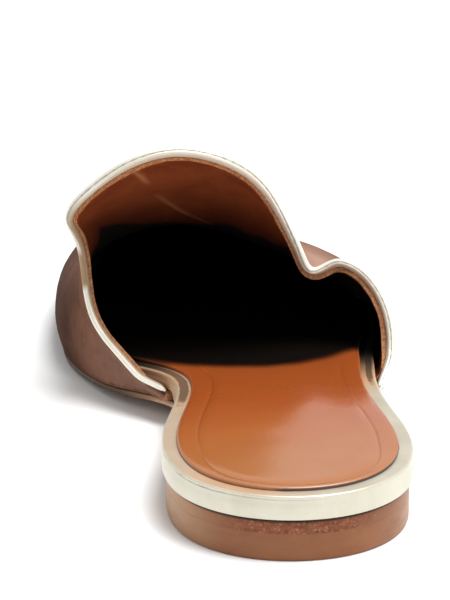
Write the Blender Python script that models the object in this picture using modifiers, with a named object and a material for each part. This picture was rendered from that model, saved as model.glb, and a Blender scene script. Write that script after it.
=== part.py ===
"""Right-foot mule: a flat, backless slip-on with a suede vamp and a gold leather trim.

The shoe is put together as a maker lasts it.  The footbed outline and the heights of the sole come
first.  The vamp is a shell lofted over the last, from the collar to the toe, and its lower margin is
turned in between the insole board and the outsole.  Sizes are millimetres on the last and become
metres when a mesh is made.  X runs across (the big toe side is -X), Y runs from heel to toe, Z is up.
"""
import math

import bmesh
import bpy
import mathutils
import numpy as np

MM = 0.001

# Driving dimensions
LENGTH = 258.0          # footbed, heel to toe
GAP = 0.3               # clearance between neighbouring pieces
HEEL_HEIGHT = 6.5
HEEL_LENGTH = 58.0
BREAST_HOLLOW = 3.0     # how far the heel's front face is hollowed
TOE_SPRING = 5.0
OUTSOLE = 1.5           # leather thickness at the forepart, where it is skived thin
OUTSOLE_HEEL = 3.6
BED = 8.0               # height of the footbed's rim over the outsole's underside, forepart
BED_HEEL = 9.8
WRAP = 0.8              # gold leather round the insole board
WRAP_FLAP = 5.5         # width of the wrap's flap on top of the board
WRAP_END = 170.0        # station under the vamp where the wrap stops on both sides
WRAP_ROUND = 0.7        # rounding where the wrap's side turns into its flap
SOCK = 0.9
SOCK_INSET = 3.6
OUTSOLE_INSET = 1.0     # outsole's edge inside the gold band, heel and waist
OUTSOLE_TUCK = 0.3      # outsole's edge inside the vamp's, forepart
OUTSOLE_CHAMFER = 0.5
HEEL_INSET = 1.3
HEEL_ROUND = 0.5
WALL = 1.9              # suede and lining together
MARGIN = 7.5            # width of the lasting margin under the board
PIPING = 2.6            # diameter of the bead round the collar
PIPING_TUCK = 0.4       # how far the bead's ends lie inside the vamp's skin
COLLAR = 150.0          # station where the vamp becomes a closed arch
NOSE = 236.0            # station where the toe starts to round off
NOSE_FULLNESS = 2.4     # 2 rounds the toe off as an ellipse, more is blunter

# Stations where the sole changes height
WAIST_START = 56.0
SKIVE_END = 125.0       # where the outsole has become thin
FOREPART_START = 162.0
BED_DROP_START = 44.0
SPRING_START = 195.0
EDGE_TURN = (92.0, 116.0)   # where the outsole's edge comes out under the vamp

# Resolution
SIDE_STEPS = 48         # steps from heel to toe on each side of the footbed
COLLAR_ROWS = 8
VAMP_ROWS = 16
VAMP_COLUMNS = 57
PIPING_STEPS = 96

# Footbed outline: along, lateral half width, medial half width
FOOTBED = [
    (4.2, 14.8, 14.8),
    (15.0, 25.0, 25.0),
    (35.0, 30.2, 29.8),
    (57.0, 29.0, 27.4),
    (77.0, 27.7, 23.4),
    (90.0, 28.0, 22.0),
    (101.0, 28.8, 22.9),
    (110.0, 29.8, 27.0),
    (119.0, 30.6, 33.8),
    (130.0, 32.4, 38.8),
    (145.0, 35.0, 42.8),
    (163.0, 36.3, 43.8),
    (182.0, 34.6, 42.0),
    (204.0, 27.2, 37.4),
    (227.0, 14.2, 31.2),
    (244.0, 3.6, 26.0),
    (254.0, -3.8, 20.8),
]
TOE_TIP = (-12.5, LENGTH)

# Vamp sections: station, crown height, ridge across,
# medial swell, wall handle and roof handle, lateral swell, wall handle and roof handle
VAMP = [
    (100.0, 58.0, -11.0, 1.6, 0.66, 0.62, 1.0, 0.30, 0.30),
    (142.0, 42.6, -13.5, 1.9, 0.64, 0.60, 0.8, 0.20, 0.24),
    (165.0, 34.0, -14.5, 1.6, 0.62, 0.58, 0.7, 0.18, 0.24),
    (185.0, 28.8, -15.0, 1.8, 0.60, 0.58, 1.0, 0.18, 0.26),
    (210.0, 24.4, -15.5, 1.6, 0.58, 0.56, 1.4, 0.22, 0.32),
    (236.0, 21.2, -14.5, 1.2, 0.56, 0.56, 1.2, 0.48, 0.50),
    (262.0, 19.0, -13.0, 1.0, 0.56, 0.56, 1.0, 0.56, 0.56),
]
CROWN_DATUM = 1.8       # crown heights in the table are over the forepart's seat
BELT = 0.22             # share of a section's height where the side is widest

# Collar line: across, along, height; both ends start on the feather line
COLLAR_LINE = [
    (-33.3, 108.0, 13.3),
    (-41.6, 118.0, 23.0),
    (-43.3, 122.6, 31.5),
    (-45.2, 121.5, 41.9),
    (-47.9, 118.0, 49.5),
    (-41.1, 114.0, 60.0),
    (-31.9, 112.8, 66.2),
    (-20.8, 112.5, 69.0),
    (-9.5, 113.0, 66.9),
    (-1.0, 115.0, 61.8),
    (5.5, 118.0, 53.6),
    (9.8, 121.0, 44.5),
    (13.0, 124.0, 36.0),
    (15.8, 125.6, 31.7),
    (18.6, 126.0, 32.7),
    (21.8, 125.4, 34.2),
    (25.4, 124.0, 33.8),
    (31.0, 121.5, 29.5),
    (33.8, 118.0, 24.9),
    (35.2, 114.5, 18.6),
    (34.2, 110.0, 12.2),
]
MEDIAL_START = 98.5
LATERAL_START = 102.0
EAR = 0.29              # share of the collar line at its rear corner, medial
DIP = 0.76              # and at the fold, lateral


# ---------------------------------------------------------------- curves

def smooth(table, at):
    """Natural cubic spline through a table whose first column is the key."""
    rows = np.array(table, float)
    key, value = rows[:, 0], rows[:, 1:]
    step = np.diff(key)
    system = np.eye(len(key))
    right = np.zeros_like(value)
    for i in range(1, len(key) - 1):
        system[i, i - 1:i + 2] = step[i - 1], 2 * (step[i - 1] + step[i]), step[i]
        right[i] = 6 * ((value[i + 1] - value[i]) / step[i] - (value[i] - value[i - 1]) / step[i - 1])
    bend = np.linalg.solve(system, right)
    at = np.atleast_1d(np.asarray(at, float))
    k = np.clip(np.searchsorted(key, at, side="right") - 1, 0, len(key) - 2)
    h = step[k][:, None]
    b = (at - key[k])[:, None] / h
    a = 1 - b
    return a * value[k] + b * value[k + 1] + ((a**3 - a) * bend[k] + (b**3 - b) * bend[k + 1]) * h**2 / 6


def travel(points):
    """Distance walked along a line of points."""
    return np.r_[0, np.cumsum(np.linalg.norm(np.diff(points, axis=0), axis=1))]


def along_line(points, share):
    """Points at the given shares of a line's length."""
    walked = travel(points)
    return np.stack([np.interp(np.asarray(share) * walked[-1], walked, axis) for axis in points.T], 1)


def curve_through(points, count):
    """Smooth open line through points."""
    points = np.array(points, float)
    key = travel(points)
    return smooth(np.c_[key, points], np.linspace(0, key[-1], count))


def ease(x, start, end):
    """0 before start, 1 after end, smooth in between."""
    t = np.clip((np.asarray(x, float) - start) / (end - start), 0, 1)
    return t * t * (3 - 2 * t)


# ---------------------------------------------------------------- sole heights

def spring(y):
    """Rise of the toe over the floor."""
    return TOE_SPRING * np.clip((np.asarray(y) - SPRING_START) / (LENGTH - SPRING_START), 0, None) ** 2


def underside(y):
    """Height of the outsole's lower face: heel, arch, flat forepart, toe spring."""
    arch = 1 - ease(y, WAIST_START, FOREPART_START)
    return (HEEL_HEIGHT + GAP) * arch + spring(y)


def outsole_top(y):
    return underside(y) + OUTSOLE + (OUTSOLE_HEEL - OUTSOLE) * (1 - ease(y, WAIST_START, SKIVE_END))


def seat(y):
    """Height on which the wrapped insole and the lasting margin lie."""
    return outsole_top(y) + GAP


def bed(y):
    """Top of the wrapped insole's rim."""
    drop = 1 - ease(y, BED_DROP_START, FOREPART_START - 2)
    return BED + (HEEL_HEIGHT + GAP + BED_HEEL - BED) * drop + spring(y)


def board_bottom(y):
    """The board rises over the lasting margin in front of the waist."""
    return seat(y) + (WALL + GAP) * ease(y, MEDIAL_START - 14, MEDIAL_START - 3)


# ---------------------------------------------------------------- outlines

def footbed_loop(count=900):
    """Closed outline of the wrapped insole: heel back, lateral side, toe, medial side."""
    loop = [(0.0, 0.0)]
    loop += [(lateral, y) for y, lateral, _ in FOOTBED]
    loop += [TOE_TIP]
    loop += [(-medial, y) for y, _, medial in reversed(FOOTBED)]
    loop = np.array(loop)
    lap = 4
    padded = np.vstack([loop[-lap:], loop, loop[:lap + 1]])
    key = travel(padded)
    return smooth(np.c_[key, padded], np.linspace(key[lap], key[-lap - 1], count, endpoint=False))


def outward(loop):
    """Outward unit normals of a closed loop."""
    along = np.roll(loop, -1, 0) - np.roll(loop, 1, 0)
    along /= np.linalg.norm(along, axis=1)[:, None]
    return np.c_[along[:, 1], -along[:, 0]]


def grown(loop, by):
    """Loop moved outwards by a distance, which may be one value for each point."""
    return loop + outward(loop) * np.reshape(by, (-1, 1))


def sides(loop):
    """Lateral and medial side of a loop, each running from heel to toe."""
    loop = np.roll(loop, -loop[:, 1].argmin(), 0)
    tip = loop[:, 1].argmax()
    return loop[:tip + 1], np.vstack([loop[tip:], loop[:1]])[::-1]


def side_points(loop, share):
    """Points of the lateral and the medial side at shares of the loop's length from heel to toe."""
    lateral, medial = sides(loop)
    station = lateral[0, 1] + np.asarray(share) * (lateral[-1, 1] - lateral[0, 1])
    return [np.c_[np.interp(station, side[:, 1], side[:, 0]), station] for side in (lateral, medial)]


def step_shares(loop, steps, turn_weight=14.0):
    """Steps from heel to toe, closer together where the outline turns."""
    fine = (1 - np.cos(np.linspace(0, math.pi, 600))) / 2
    effort = np.zeros(len(fine))
    for side in side_points(loop, fine):
        way = np.gradient(side, axis=0)
        heading = np.unwrap(np.arctan2(way[:, 1], way[:, 0]))
        effort += travel(side) + turn_weight * np.r_[0, np.cumsum(np.abs(np.diff(heading)))]
    return np.interp(np.linspace(0, effort[-1], steps + 1), effort, fine)


def ring(loop):
    """Loop resampled so that point i of the lateral side faces point i of the medial side."""
    lateral, medial = side_points(loop, STEP_SHARES)
    return np.vstack([lateral, medial[-2:0:-1]])


FOOTBED_LOOP = footbed_loop()
STEP_SHARES = step_shares(FOOTBED_LOOP, SIDE_STEPS)
FEATHER_LOOP = grown(FOOTBED_LOOP, GAP + WALL)
FEATHER = {inset: sides(grown(FEATHER_LOOP, -inset)) for inset in (0.0, WALL)}
TOE = FEATHER_LOOP[:, 1].max()


def feather(side, y, inset=0.0):
    """Across position of the feather line at a station, side 0 lateral or 1 medial."""
    line = FEATHER[inset][side]
    return np.interp(y, line[:, 1], line[:, 0])


# ---------------------------------------------------------------- vamp surface

def flank(edge, ridge, base, belt, crown, swell, wall_handle, roof_handle):
    """One side of a section: out from the feather edge to the belt, then over to the ridge.

    The handles are shares of the rise and of the reach, as on a drawn curve: the longer they are,
    the fuller the side.
    """
    out = math.copysign(swell, edge - ridge)
    low = np.linspace(0, 1, 16)[:-1][:, None]
    lower = np.hstack([edge + out * np.sin(low * math.pi / 2), base + (belt - base) * low])
    widest = np.array([edge + out, belt])
    top = np.array([ridge, crown])
    rise = np.array([0, wall_handle * (crown - belt)])
    reach = np.array([roof_handle * (ridge - widest[0]), 0])
    t = np.linspace(0, 1, 70)[:, None]
    upper = ((1 - t) ** 3 * widest + 3 * (1 - t) ** 2 * t * (widest + rise)
             + 3 * (1 - t) * t**2 * (top - reach) + t**3 * top)
    return np.vstack([lower, upper])


def section(station, share):
    """Section of the vamp's skin, medial feather edge (share 0) to lateral feather edge (share 1)."""
    crown, ridge, swell_m, wall_m, roof_m, swell_l, wall_l, roof_l = smooth(VAMP, station)[0]
    base = float(seat(station))
    past = max(station - NOSE, 0) / (TOE - NOSE)
    nose = max(1 - past ** NOSE_FULLNESS, 0) ** (1 / NOSE_FULLNESS)
    crown = base + (crown - CROWN_DATUM) * nose
    belt = base + BELT * (crown - base)
    medial = flank(feather(1, station), ridge, base, belt, crown, swell_m * nose, wall_m, roof_m)
    lateral = flank(feather(0, station), ridge, base, belt, crown, swell_l * nose, wall_l, roof_l)
    line = along_line(np.vstack([medial, lateral[::-1][1:]]), share)
    return np.c_[line[:, 0], np.full(len(line), station), line[:, 1]]


def collar_line(share):
    """Outer edge of the collar, from the medial to the lateral feather edge."""
    ends = [(feather(1, MEDIAL_START), MEDIAL_START, seat(MEDIAL_START)),
            (feather(0, LATERAL_START), LATERAL_START, seat(LATERAL_START))]
    return along_line(curve_through([ends[0]] + COLLAR_LINE + [ends[1]], 1200), share)


def collar_rows(share, depth):
    """Rows of the surface between the collar (depth 0) and the first full section (depth 1).

    depth holds a row of values for each share.  The rows leave the first section in its own
    direction, so the collar flows into the vamp.
    """
    start = collar_line(share)
    end = section(COLLAR, share)
    lead = (section(COLLAR + 1, share) - end) * (end[:, 1] - start[:, 1])[:, None]
    leave = (3 * (end - start) - lead) / 2
    rows = []
    for t in depth:
        t = np.reshape(t * np.ones(len(share)), (-1, 1))
        row = ((2 * t**3 - 3 * t**2 + 1) * start + (t**3 - 2 * t**2 + t) * leave
               + (3 * t**2 - 2 * t**3) * end + (t**3 - t**2) * lead)
        for side, column in ((1, 0), (0, -1)):
            y = row[column, 1]
            true = np.array([feather(side, y), y, seat(y)])
            fade = np.clip(1 - np.abs(share - share[column]) / 0.2, 0, 1) ** 2
            row = row + fade[:, None] * (true - row[column])
        rows.append(row)
    return np.array(rows)


def setback(share, distance):
    """Depth at which the surface is a given distance inside the collar line."""
    step = 0.02
    line = collar_line(share)
    near = collar_rows(share, [step])[0] - line
    way = np.gradient(line, axis=0)
    slant = np.linalg.norm(np.cross(near, way), axis=1) / np.linalg.norm(way, axis=1)
    return distance * step / slant


def columns(count):
    """Shares across the vamp, closer together round the collar's ear and its dip."""
    share = np.linspace(0, 1, 400)
    weight = 1 + 0.9 * np.exp(-((share - EAR) / 0.07) ** 2) + 1.4 * np.exp(-((share - DIP) / 0.06) ** 2)
    walked = np.r_[0, np.cumsum((weight[1:] + weight[:-1]) / 2)]
    return np.interp(np.linspace(0, walked[-1], count), walked, share)


# ---------------------------------------------------------------- making objects

def material(name, colour, roughness, metallic=0.0):
    made = bpy.data.materials.new(name)
    made.use_nodes = True
    shader = made.node_tree.nodes["Principled BSDF"]
    shader.inputs["Base Color"].default_value = (*colour, 1)
    shader.inputs["Roughness"].default_value = roughness
    shader.inputs["Metallic"].default_value = metallic
    made.diffuse_color = (*colour, 1)
    return made


def object_from(name, mesh_data, finish):
    """Object from a bmesh, with its faces turned outwards."""
    bmesh.ops.recalc_face_normals(mesh_data, faces=mesh_data.faces)
    mesh = bpy.data.meshes.new(name)
    mesh_data.to_mesh(mesh)
    mesh_data.free()
    mesh.materials.append(finish)
    mesh.shade_smooth()
    mesh.set_sharp_from_angle(angle=math.radians(40))
    made = bpy.data.objects.new(name, mesh)
    MULE.objects.link(made)
    return made


def add_ring(mesh_data, points):
    return [mesh_data.verts.new(np.asarray(p) * MM) for p in points]


def bridge(mesh_data, first, second, closed=True):
    """Quads between two rows of vertices."""
    last = len(first) if closed else len(first) - 1
    for i in range(last):
        j = (i + 1) % len(first)
        mesh_data.faces.new((first[i], first[j], second[j], second[i]))


def ladder(mesh_data, row):
    """Cap of a footbed ring: rungs from each lateral point to the medial point that it faces."""
    half = len(row) // 2
    mesh_data.faces.new((row[0], row[1], row[-1]))
    for i in range(1, half - 1):
        mesh_data.faces.new((row[i], row[i + 1], row[-i - 1], row[-i]))
    mesh_data.faces.new((row[half - 1], row[half], row[half + 1]))


def layer(name, finish, levels):
    """Closed layer of the sole from (growth, height function) pairs, bottom to top."""
    mesh_data = bmesh.new()
    rows = []
    for growth, height in levels:
        flat = ring(grown(FOOTBED_LOOP, growth))
        rows.append(add_ring(mesh_data, np.c_[flat, height(flat[:, 1])]))
    for low, high in zip(rows, rows[1:]):
        bridge(mesh_data, low, high)
    ladder(mesh_data, rows[0])
    ladder(mesh_data, rows[-1])
    return object_from(name, mesh_data, finish)


# ---------------------------------------------------------------- the pieces

def make_outsole():
    """Leather outsole: inside the gold band at the heel, out under the vamp in front."""
    out = OUTSOLE_INSET + GAP + WALL - OUTSOLE_TUCK
    edge = out * ease(FOOTBED_LOOP[:, 1], *EDGE_TURN) - OUTSOLE_INSET
    return layer("outsole", SOLE_LEATHER, [
        (edge - 2 * OUTSOLE_CHAMFER, underside),
        (edge, lambda y: underside(y) + OUTSOLE_CHAMFER),
        (edge, lambda y: outsole_top(y) - OUTSOLE_CHAMFER / 2),
        (edge - OUTSOLE_CHAMFER / 2, outsole_top),
    ])


def make_heel():
    """Low heel block: the footbed's outline to the breast, which is slightly hollow."""
    lateral, medial = sides(grown(FOOTBED_LOOP, -HEEL_INSET))
    turn = np.linspace(0, math.pi / 2, 17)
    station = lateral[0, 1] + (HEEL_LENGTH - lateral[0, 1]) * (1 - np.cos(turn))
    right = np.c_[np.interp(station, lateral[:, 1], lateral[:, 0]), station]
    left = np.c_[np.interp(station, medial[:, 1], medial[:, 0]), station]
    across = np.linspace(1, -1, 13)[1:-1]
    middle = (right[-1, 0] + left[-1, 0]) / 2
    half = (right[-1, 0] - left[-1, 0]) / 2
    breast = np.c_[middle + half * across, HEEL_LENGTH - BREAST_HOLLOW * (1 - across ** 2)]
    outline = np.vstack([right, breast, left[:0:-1]])
    mesh_data = bmesh.new()
    low = add_ring(mesh_data, np.c_[outline, np.zeros(len(outline))])
    high = add_ring(mesh_data, np.c_[outline, np.full(len(outline), HEEL_HEIGHT)])
    bridge(mesh_data, low, high)
    mesh_data.faces.new(low)
    mesh_data.faces.new(high)
    heel = object_from("heel", mesh_data, HEEL_LEATHER)
    edge = heel.modifiers.new("worn edge", "BEVEL")
    edge.width = HEEL_ROUND * MM
    edge.segments = 1
    edge.limit_method = "ANGLE"
    edge.angle_limit = math.radians(60)
    return heel


def make_insole_board():
    """Stiff board, rebated round its rim for the wrap's flap."""
    rim = -(WRAP + GAP)
    step = -(WRAP_FLAP + GAP)
    return layer("insole_board", BOARD, [
        (rim, board_bottom),
        (rim, lambda y: bed(y) - WRAP - GAP),
        (step, lambda y: bed(y) - WRAP - GAP),
        (step, bed),
    ])


def make_insole_wrap():
    """Gold strip folded over the board's edge, a side and a flap, round the heel into the vamp."""
    profile = [
        (0.0, board_bottom),
        (0.0, lambda y: bed(y) - WRAP_ROUND),
        (-0.3 * WRAP_ROUND, lambda y: bed(y) - 0.3 * WRAP_ROUND),
        (-WRAP_ROUND, bed),
        (-WRAP_FLAP, bed),
        (-WRAP_FLAP, lambda y: bed(y) - WRAP),
        (-WRAP, lambda y: bed(y) - WRAP),
        (-WRAP, board_bottom),
    ]
    shares = STEP_SHARES[STEP_SHARES < WRAP_END / LENGTH]
    mesh_data = bmesh.new()
    rows = []
    for growth, height in profile:
        lateral, medial = side_points(grown(FOOTBED_LOOP, growth), shares)
        strip = np.vstack([lateral[:0:-1], medial])
        rows.append(add_ring(mesh_data, np.c_[strip, height(strip[:, 1])]))
    for low, high in zip(rows, rows[1:] + rows[:1]):
        bridge(mesh_data, low, high, closed=False)
    for end in (0, -1):
        mesh_data.faces.new([row[end] for row in rows])
    return object_from("insole_wrap", mesh_data, GOLD)


def make_sock():
    """Leather sock lining on the whole footbed."""
    return layer("sock_lining", LINING, [
        (-SOCK_INSET, lambda y: bed(y) + GAP),
        (-SOCK_INSET, lambda y: bed(y) + GAP + 0.7 * SOCK),
        (-SOCK_INSET - 0.4, lambda y: bed(y) + GAP + SOCK),
    ])


def surface_normals(grid):
    """Outward unit normals of a grid of points, rows towards the toe, columns medial to lateral."""
    normal = np.cross(np.gradient(grid, axis=1), np.gradient(grid, axis=0))
    return normal / np.linalg.norm(normal, axis=2)[:, :, None]


def lining(rows, share):
    """Inner skin: square to the outer one, and standing on the lasting margin at its two edges."""
    inner = []
    for row in rows - WALL * surface_normals(rows):
        row = row[row[:, 2] > seat(row[:, 1]) + WALL + 0.2]
        ends = [(feather(side, y, WALL), y, seat(y) + WALL) for side, y in ((1, row[0, 1]), (0, row[-1, 1]))]
        inner.append(along_line(np.vstack([ends[0], row, ends[1]]), share))
    return np.array(inner)


def bead_path(share):
    """Centre line of the collar's bead: in the wall's middle, and nearer its skin at the two ends."""
    depth = setback(share, PIPING / 2)
    path, below = collar_rows(share, [depth, 1.1 * depth])
    skin = np.cross(np.gradient(path, axis=0), below - path)
    skin /= np.linalg.norm(skin, axis=1)[:, None]
    inset = PIPING_TUCK + (WALL / 2 - PIPING_TUCK) * ease(np.minimum(share, 1 - share), 0.04, 0.10)
    return path - skin * inset[:, None]


def wall_edge(share):
    """Depth of the wall's upper edge, moved down until it is clear of the bead."""
    path = bead_path(np.linspace(0.01, 0.99, 400))
    depth = setback(share, PIPING + GAP)
    for _ in range(30):
        outer = collar_rows(share, [depth, 1.02 * depth])
        edge = np.vstack([outer[0], lining(outer, share)[0]])
        apart = np.linalg.norm(edge[:, None] - path[None], axis=2).min(1).reshape(2, -1).min(0)
        depth = np.where(apart < PIPING / 2 + 1.3 * GAP, depth + 0.005, depth)
    return depth


def margin_line(edge, height):
    """Inner line of the lasting margin, square to the outline, at a height over the seat."""
    normal = outward(FEATHER_LOOP)
    moved = []
    for x, y, _ in edge:
        near = np.argmin(np.hypot(FEATHER_LOOP[:, 0] - x, FEATHER_LOOP[:, 1] - y))
        inner = np.array([x, y]) - MARGIN * normal[near]
        moved.append((*inner, seat(inner[1]) + height))
    return moved


def make_upper():
    """Hollow vamp: one wall from the collar to the toe, with its lasting margin."""
    share = columns(VAMP_COLUMNS)
    first = wall_edge(share)
    depth = [first + (1 - first) * t for t in np.linspace(0, 1, COLLAR_ROWS + 1)]
    sweep = np.sin(np.linspace(0, math.pi / 2, VAMP_ROWS + 1))[1:-1]
    vamp = [section(COLLAR + (TOE - COLLAR) * s, share) for s in sweep]
    outer = np.vstack([collar_rows(share, depth), vamp])
    inner = lining(outer, share)

    tip = FEATHER_LOOP[FEATHER_LOOP[:, 1].argmax()]
    poles = [(tip[0], tip[1] - inset, float(seat(tip[1])) + inset) for inset in (0.0, WALL)]
    mesh_data = bmesh.new()
    skins, edges = [], []
    for grid, pole in zip((outer, inner), poles):
        rows = [add_ring(mesh_data, row) for row in grid]
        end = add_ring(mesh_data, [pole])[0]
        for near, far in zip(rows, rows[1:]):
            bridge(mesh_data, near, far, closed=False)
        for a, b in zip(rows[-1], rows[-1][1:]):
            mesh_data.faces.new((a, b, end))
        skins.append(rows)
        edges.append([row[0] for row in rows] + [end] + [row[-1] for row in reversed(rows)])
    feather_edge = [row[0] for row in outer] + [poles[0]] + [row[-1] for row in outer[::-1]]
    under = add_ring(mesh_data, margin_line(feather_edge, 0.0))
    over = add_ring(mesh_data, margin_line(feather_edge, WALL))
    loops = (edges[0], under, over, edges[1])
    for one, other in zip(loops, loops[1:]):
        bridge(mesh_data, one, other, closed=False)
    for end in (0, -1):
        mesh_data.faces.new([loop[end] for loop in loops])
    bridge(mesh_data, skins[0][0], skins[1][0], closed=False)
    return object_from("upper", mesh_data, SUEDE)


def make_piping():
    """Rounded bead of gold leather along the collar, standing on the wall's edge."""
    path = bead_path(np.linspace(0.01, 0.99, PIPING_STEPS))
    curve = bpy.data.curves.new("piping path", "CURVE")
    curve.dimensions = "3D"
    curve.bevel_depth = PIPING / 2 * MM
    curve.bevel_resolution = 2
    curve.use_fill_caps = True
    spline = curve.splines.new("POLY")
    spline.points.add(len(path) - 1)
    for point, place in zip(spline.points, path):
        point.co = (*(place * MM), 1)
    curve.materials.append(GOLD)
    piping = bpy.data.objects.new("collar_piping", curve)
    MULE.objects.link(piping)
    return piping


def settle():
    """Put the origin on the floor, in the middle of the shoe's box."""
    graph = bpy.context.evaluated_depsgraph_get()
    corners = []
    for piece in MULE.objects:
        mesh = piece.evaluated_get(graph).to_mesh()
        corners += [vertex.co[:] for vertex in mesh.vertices]
    low, high = np.min(corners, axis=0), np.max(corners, axis=0)
    middle = (low + high) / 2
    move = mathutils.Matrix.Translation((-middle[0], -middle[1], -low[2]))
    for piece in MULE.objects:
        piece.data.transform(move)


for old in list(bpy.data.objects):
    bpy.data.objects.remove(old)
MULE = bpy.data.collections.new("mule")
bpy.context.scene.collection.children.link(MULE)

SUEDE = material("mauve brown suede", (0.27, 0.17, 0.14), 0.95)
LINING = material("tan lining leather", (0.42, 0.16, 0.06), 0.45)
GOLD = material("pale gold leather", (0.72, 0.66, 0.50), 0.35, 0.5)
SOLE_LEATHER = material("sole leather", (0.33, 0.15, 0.08), 0.6)
HEEL_LEATHER = material("stacked heel leather", (0.40, 0.20, 0.11), 0.4)
BOARD = material("insole board", (0.45, 0.34, 0.22), 0.8)

make_outsole()
make_heel()
make_insole_board()
make_insole_wrap()
make_sock()
make_upper()
make_piping()
settle()
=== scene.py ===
# %% [markdown]
# # A flat suede mule, dressed around its construction
#
# A mule is a shoe without a back. This one has a soft suede vamp with a tan leather lining, a
# rounded binding of pale gold leather round its mouth, an insole board wrapped in the same gold
# leather, a glossy tan sock on top of it, a thin leather outsole and a low heel block.
# The construction comes as closed solids. Each cell below makes the fine version of one piece,
# with the same outlines and sections as the construction but with far closer steps, and gives it
# a finish.

# %% Load the construction
import math

import bmesh
import bpy
import numpy as np
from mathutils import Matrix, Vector, noise


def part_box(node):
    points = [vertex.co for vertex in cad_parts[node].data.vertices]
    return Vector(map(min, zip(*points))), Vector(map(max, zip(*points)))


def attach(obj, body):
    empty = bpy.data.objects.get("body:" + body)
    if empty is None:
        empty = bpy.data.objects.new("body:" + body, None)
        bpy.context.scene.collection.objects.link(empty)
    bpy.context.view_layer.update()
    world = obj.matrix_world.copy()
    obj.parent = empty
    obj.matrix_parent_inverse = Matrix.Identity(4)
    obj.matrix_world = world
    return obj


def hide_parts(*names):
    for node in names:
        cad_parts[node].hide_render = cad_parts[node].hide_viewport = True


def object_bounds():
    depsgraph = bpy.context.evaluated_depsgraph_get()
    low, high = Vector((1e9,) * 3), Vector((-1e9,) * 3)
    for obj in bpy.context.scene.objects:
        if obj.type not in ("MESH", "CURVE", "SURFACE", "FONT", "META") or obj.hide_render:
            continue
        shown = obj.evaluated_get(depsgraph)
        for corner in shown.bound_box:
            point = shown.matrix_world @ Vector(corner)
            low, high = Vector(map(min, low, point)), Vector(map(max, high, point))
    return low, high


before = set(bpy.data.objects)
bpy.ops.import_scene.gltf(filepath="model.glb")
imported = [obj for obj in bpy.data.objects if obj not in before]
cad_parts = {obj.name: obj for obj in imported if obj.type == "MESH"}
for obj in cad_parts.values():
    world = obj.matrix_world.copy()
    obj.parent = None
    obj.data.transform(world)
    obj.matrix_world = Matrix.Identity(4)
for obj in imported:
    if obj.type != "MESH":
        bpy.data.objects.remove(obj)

cad_box = [[float(value) for value in corner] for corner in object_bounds()]
print("construction:", sorted(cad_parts), "box in metres:", cad_box)

# %% [markdown]
# ## The last
#
# A shoemaker works over a last, a block in the shape of the foot. A shoe could also be modelled by
# eye from a box, but then its layers would not lie on one another, so every piece here is drawn
# from one last. Sizes are millimetres: X runs across the foot, with the big toe at -X, Y runs from
# the heel to the toe and Z is up. Short tables hold what was measured.

# %% Sizes of the shoe
# Footbed length, gap between two pieces, rise of the toe
LENGTH, GAP, TOE_SPRING = 258.0, 0.3, 5.0
# Heel: height, length, hollow of its breast, inset from the footbed
HEEL_HEIGHT, HEEL_LENGTH, BREAST_HOLLOW, HEEL_INSET = 6.5, 58.0, 3.0, 1.0
# Outsole: thickness in front and at the heel, inset at the heel, tuck under the vamp
OUTSOLE, OUTSOLE_HEEL, OUTSOLE_INSET, OUTSOLE_TUCK = 1.5, 3.6, 1.0, 0.3
# Height of the footbed in front and, over the heel's seam, at the back
BED, BED_HEEL = 8.0, 9.8
# Gold strip: thickness, width of the flap on top, where it ends under the vamp
WRAP, WRAP_FLAP, WRAP_END = 0.8, 5.5, 170.0
# Sock: thickness, inset from the footbed's outline
SOCK, SOCK_INSET = 0.9, 3.6
# Vamp: wall, lasting margin, height of the drawing's floor, height of its widest place
WALL, MARGIN, CROWN_DATUM, BELT = 1.9, 7.5, 1.8, 0.22
# Vamp: first whole section, where the nose starts to close, how fully it closes
COLLAR, NOSE, NOSE_FULLNESS = 150.0, 236.0, 2.4
# Binding: full height, how far its middle stands inside the suede
PIPING, PIPING_TUCK = 2.6, 0.4
# Stations where the sole's forms begin and end
WAIST_START, SKIVE_END, FOREPART_START = 56.0, 125.0, 162.0
BED_DROP_START, SPRING_START, EDGE_TURN = 44.0, 195.0, (92.0, 116.0)
# Stations where the vamp starts on either side; shares of its ear and its dip along the collar
MEDIAL_START, LATERAL_START, EAR, DIP = 98.5, 102.0, 0.29, 0.76
TOE_TIP = (-12.5, LENGTH)
print("footbed", LENGTH, "mm, heel", HEEL_HEIGHT, "mm, wall", WALL, "mm")

# %% Tables of the last
# Footbed outline: along, lateral half width, medial half width
FOOTBED = [
    (4.2, 14.8, 14.8), (15.0, 25.0, 25.0), (35.0, 30.2, 29.8), (57.0, 29.0, 27.4),
    (77.0, 27.7, 23.4), (90.0, 28.0, 22.0), (101.0, 28.8, 22.9), (110.0, 29.8, 27.0),
    (119.0, 30.6, 33.8), (130.0, 32.4, 38.8), (145.0, 35.0, 42.8), (163.0, 36.3, 43.8),
    (182.0, 34.6, 42.0), (204.0, 27.2, 37.4), (227.0, 14.2, 31.2), (244.0, 3.6, 26.0),
    (254.0, -3.8, 20.8),
]

# Vamp sections: station, crown height, ridge across,
# medial swell, wall handle and roof handle, lateral swell, wall handle and roof handle
VAMP = [
    (100.0, 58.0, -11.0, 1.6, 0.66, 0.62, 1.0, 0.3, 0.3),
    (142.0, 42.6, -13.5, 1.9, 0.64, 0.6, 0.8, 0.2, 0.24),
    (165.0, 34.0, -14.5, 1.6, 0.62, 0.58, 0.7, 0.18, 0.24),
    (185.0, 28.8, -15.0, 1.8, 0.6, 0.58, 1.0, 0.18, 0.26),
    (210.0, 24.4, -15.5, 1.6, 0.58, 0.56, 1.4, 0.22, 0.32),
    (236.0, 21.2, -14.5, 1.2, 0.56, 0.56, 1.2, 0.48, 0.5),
    (262.0, 19.0, -13.0, 1.0, 0.56, 0.56, 1.0, 0.56, 0.56),
]

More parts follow.
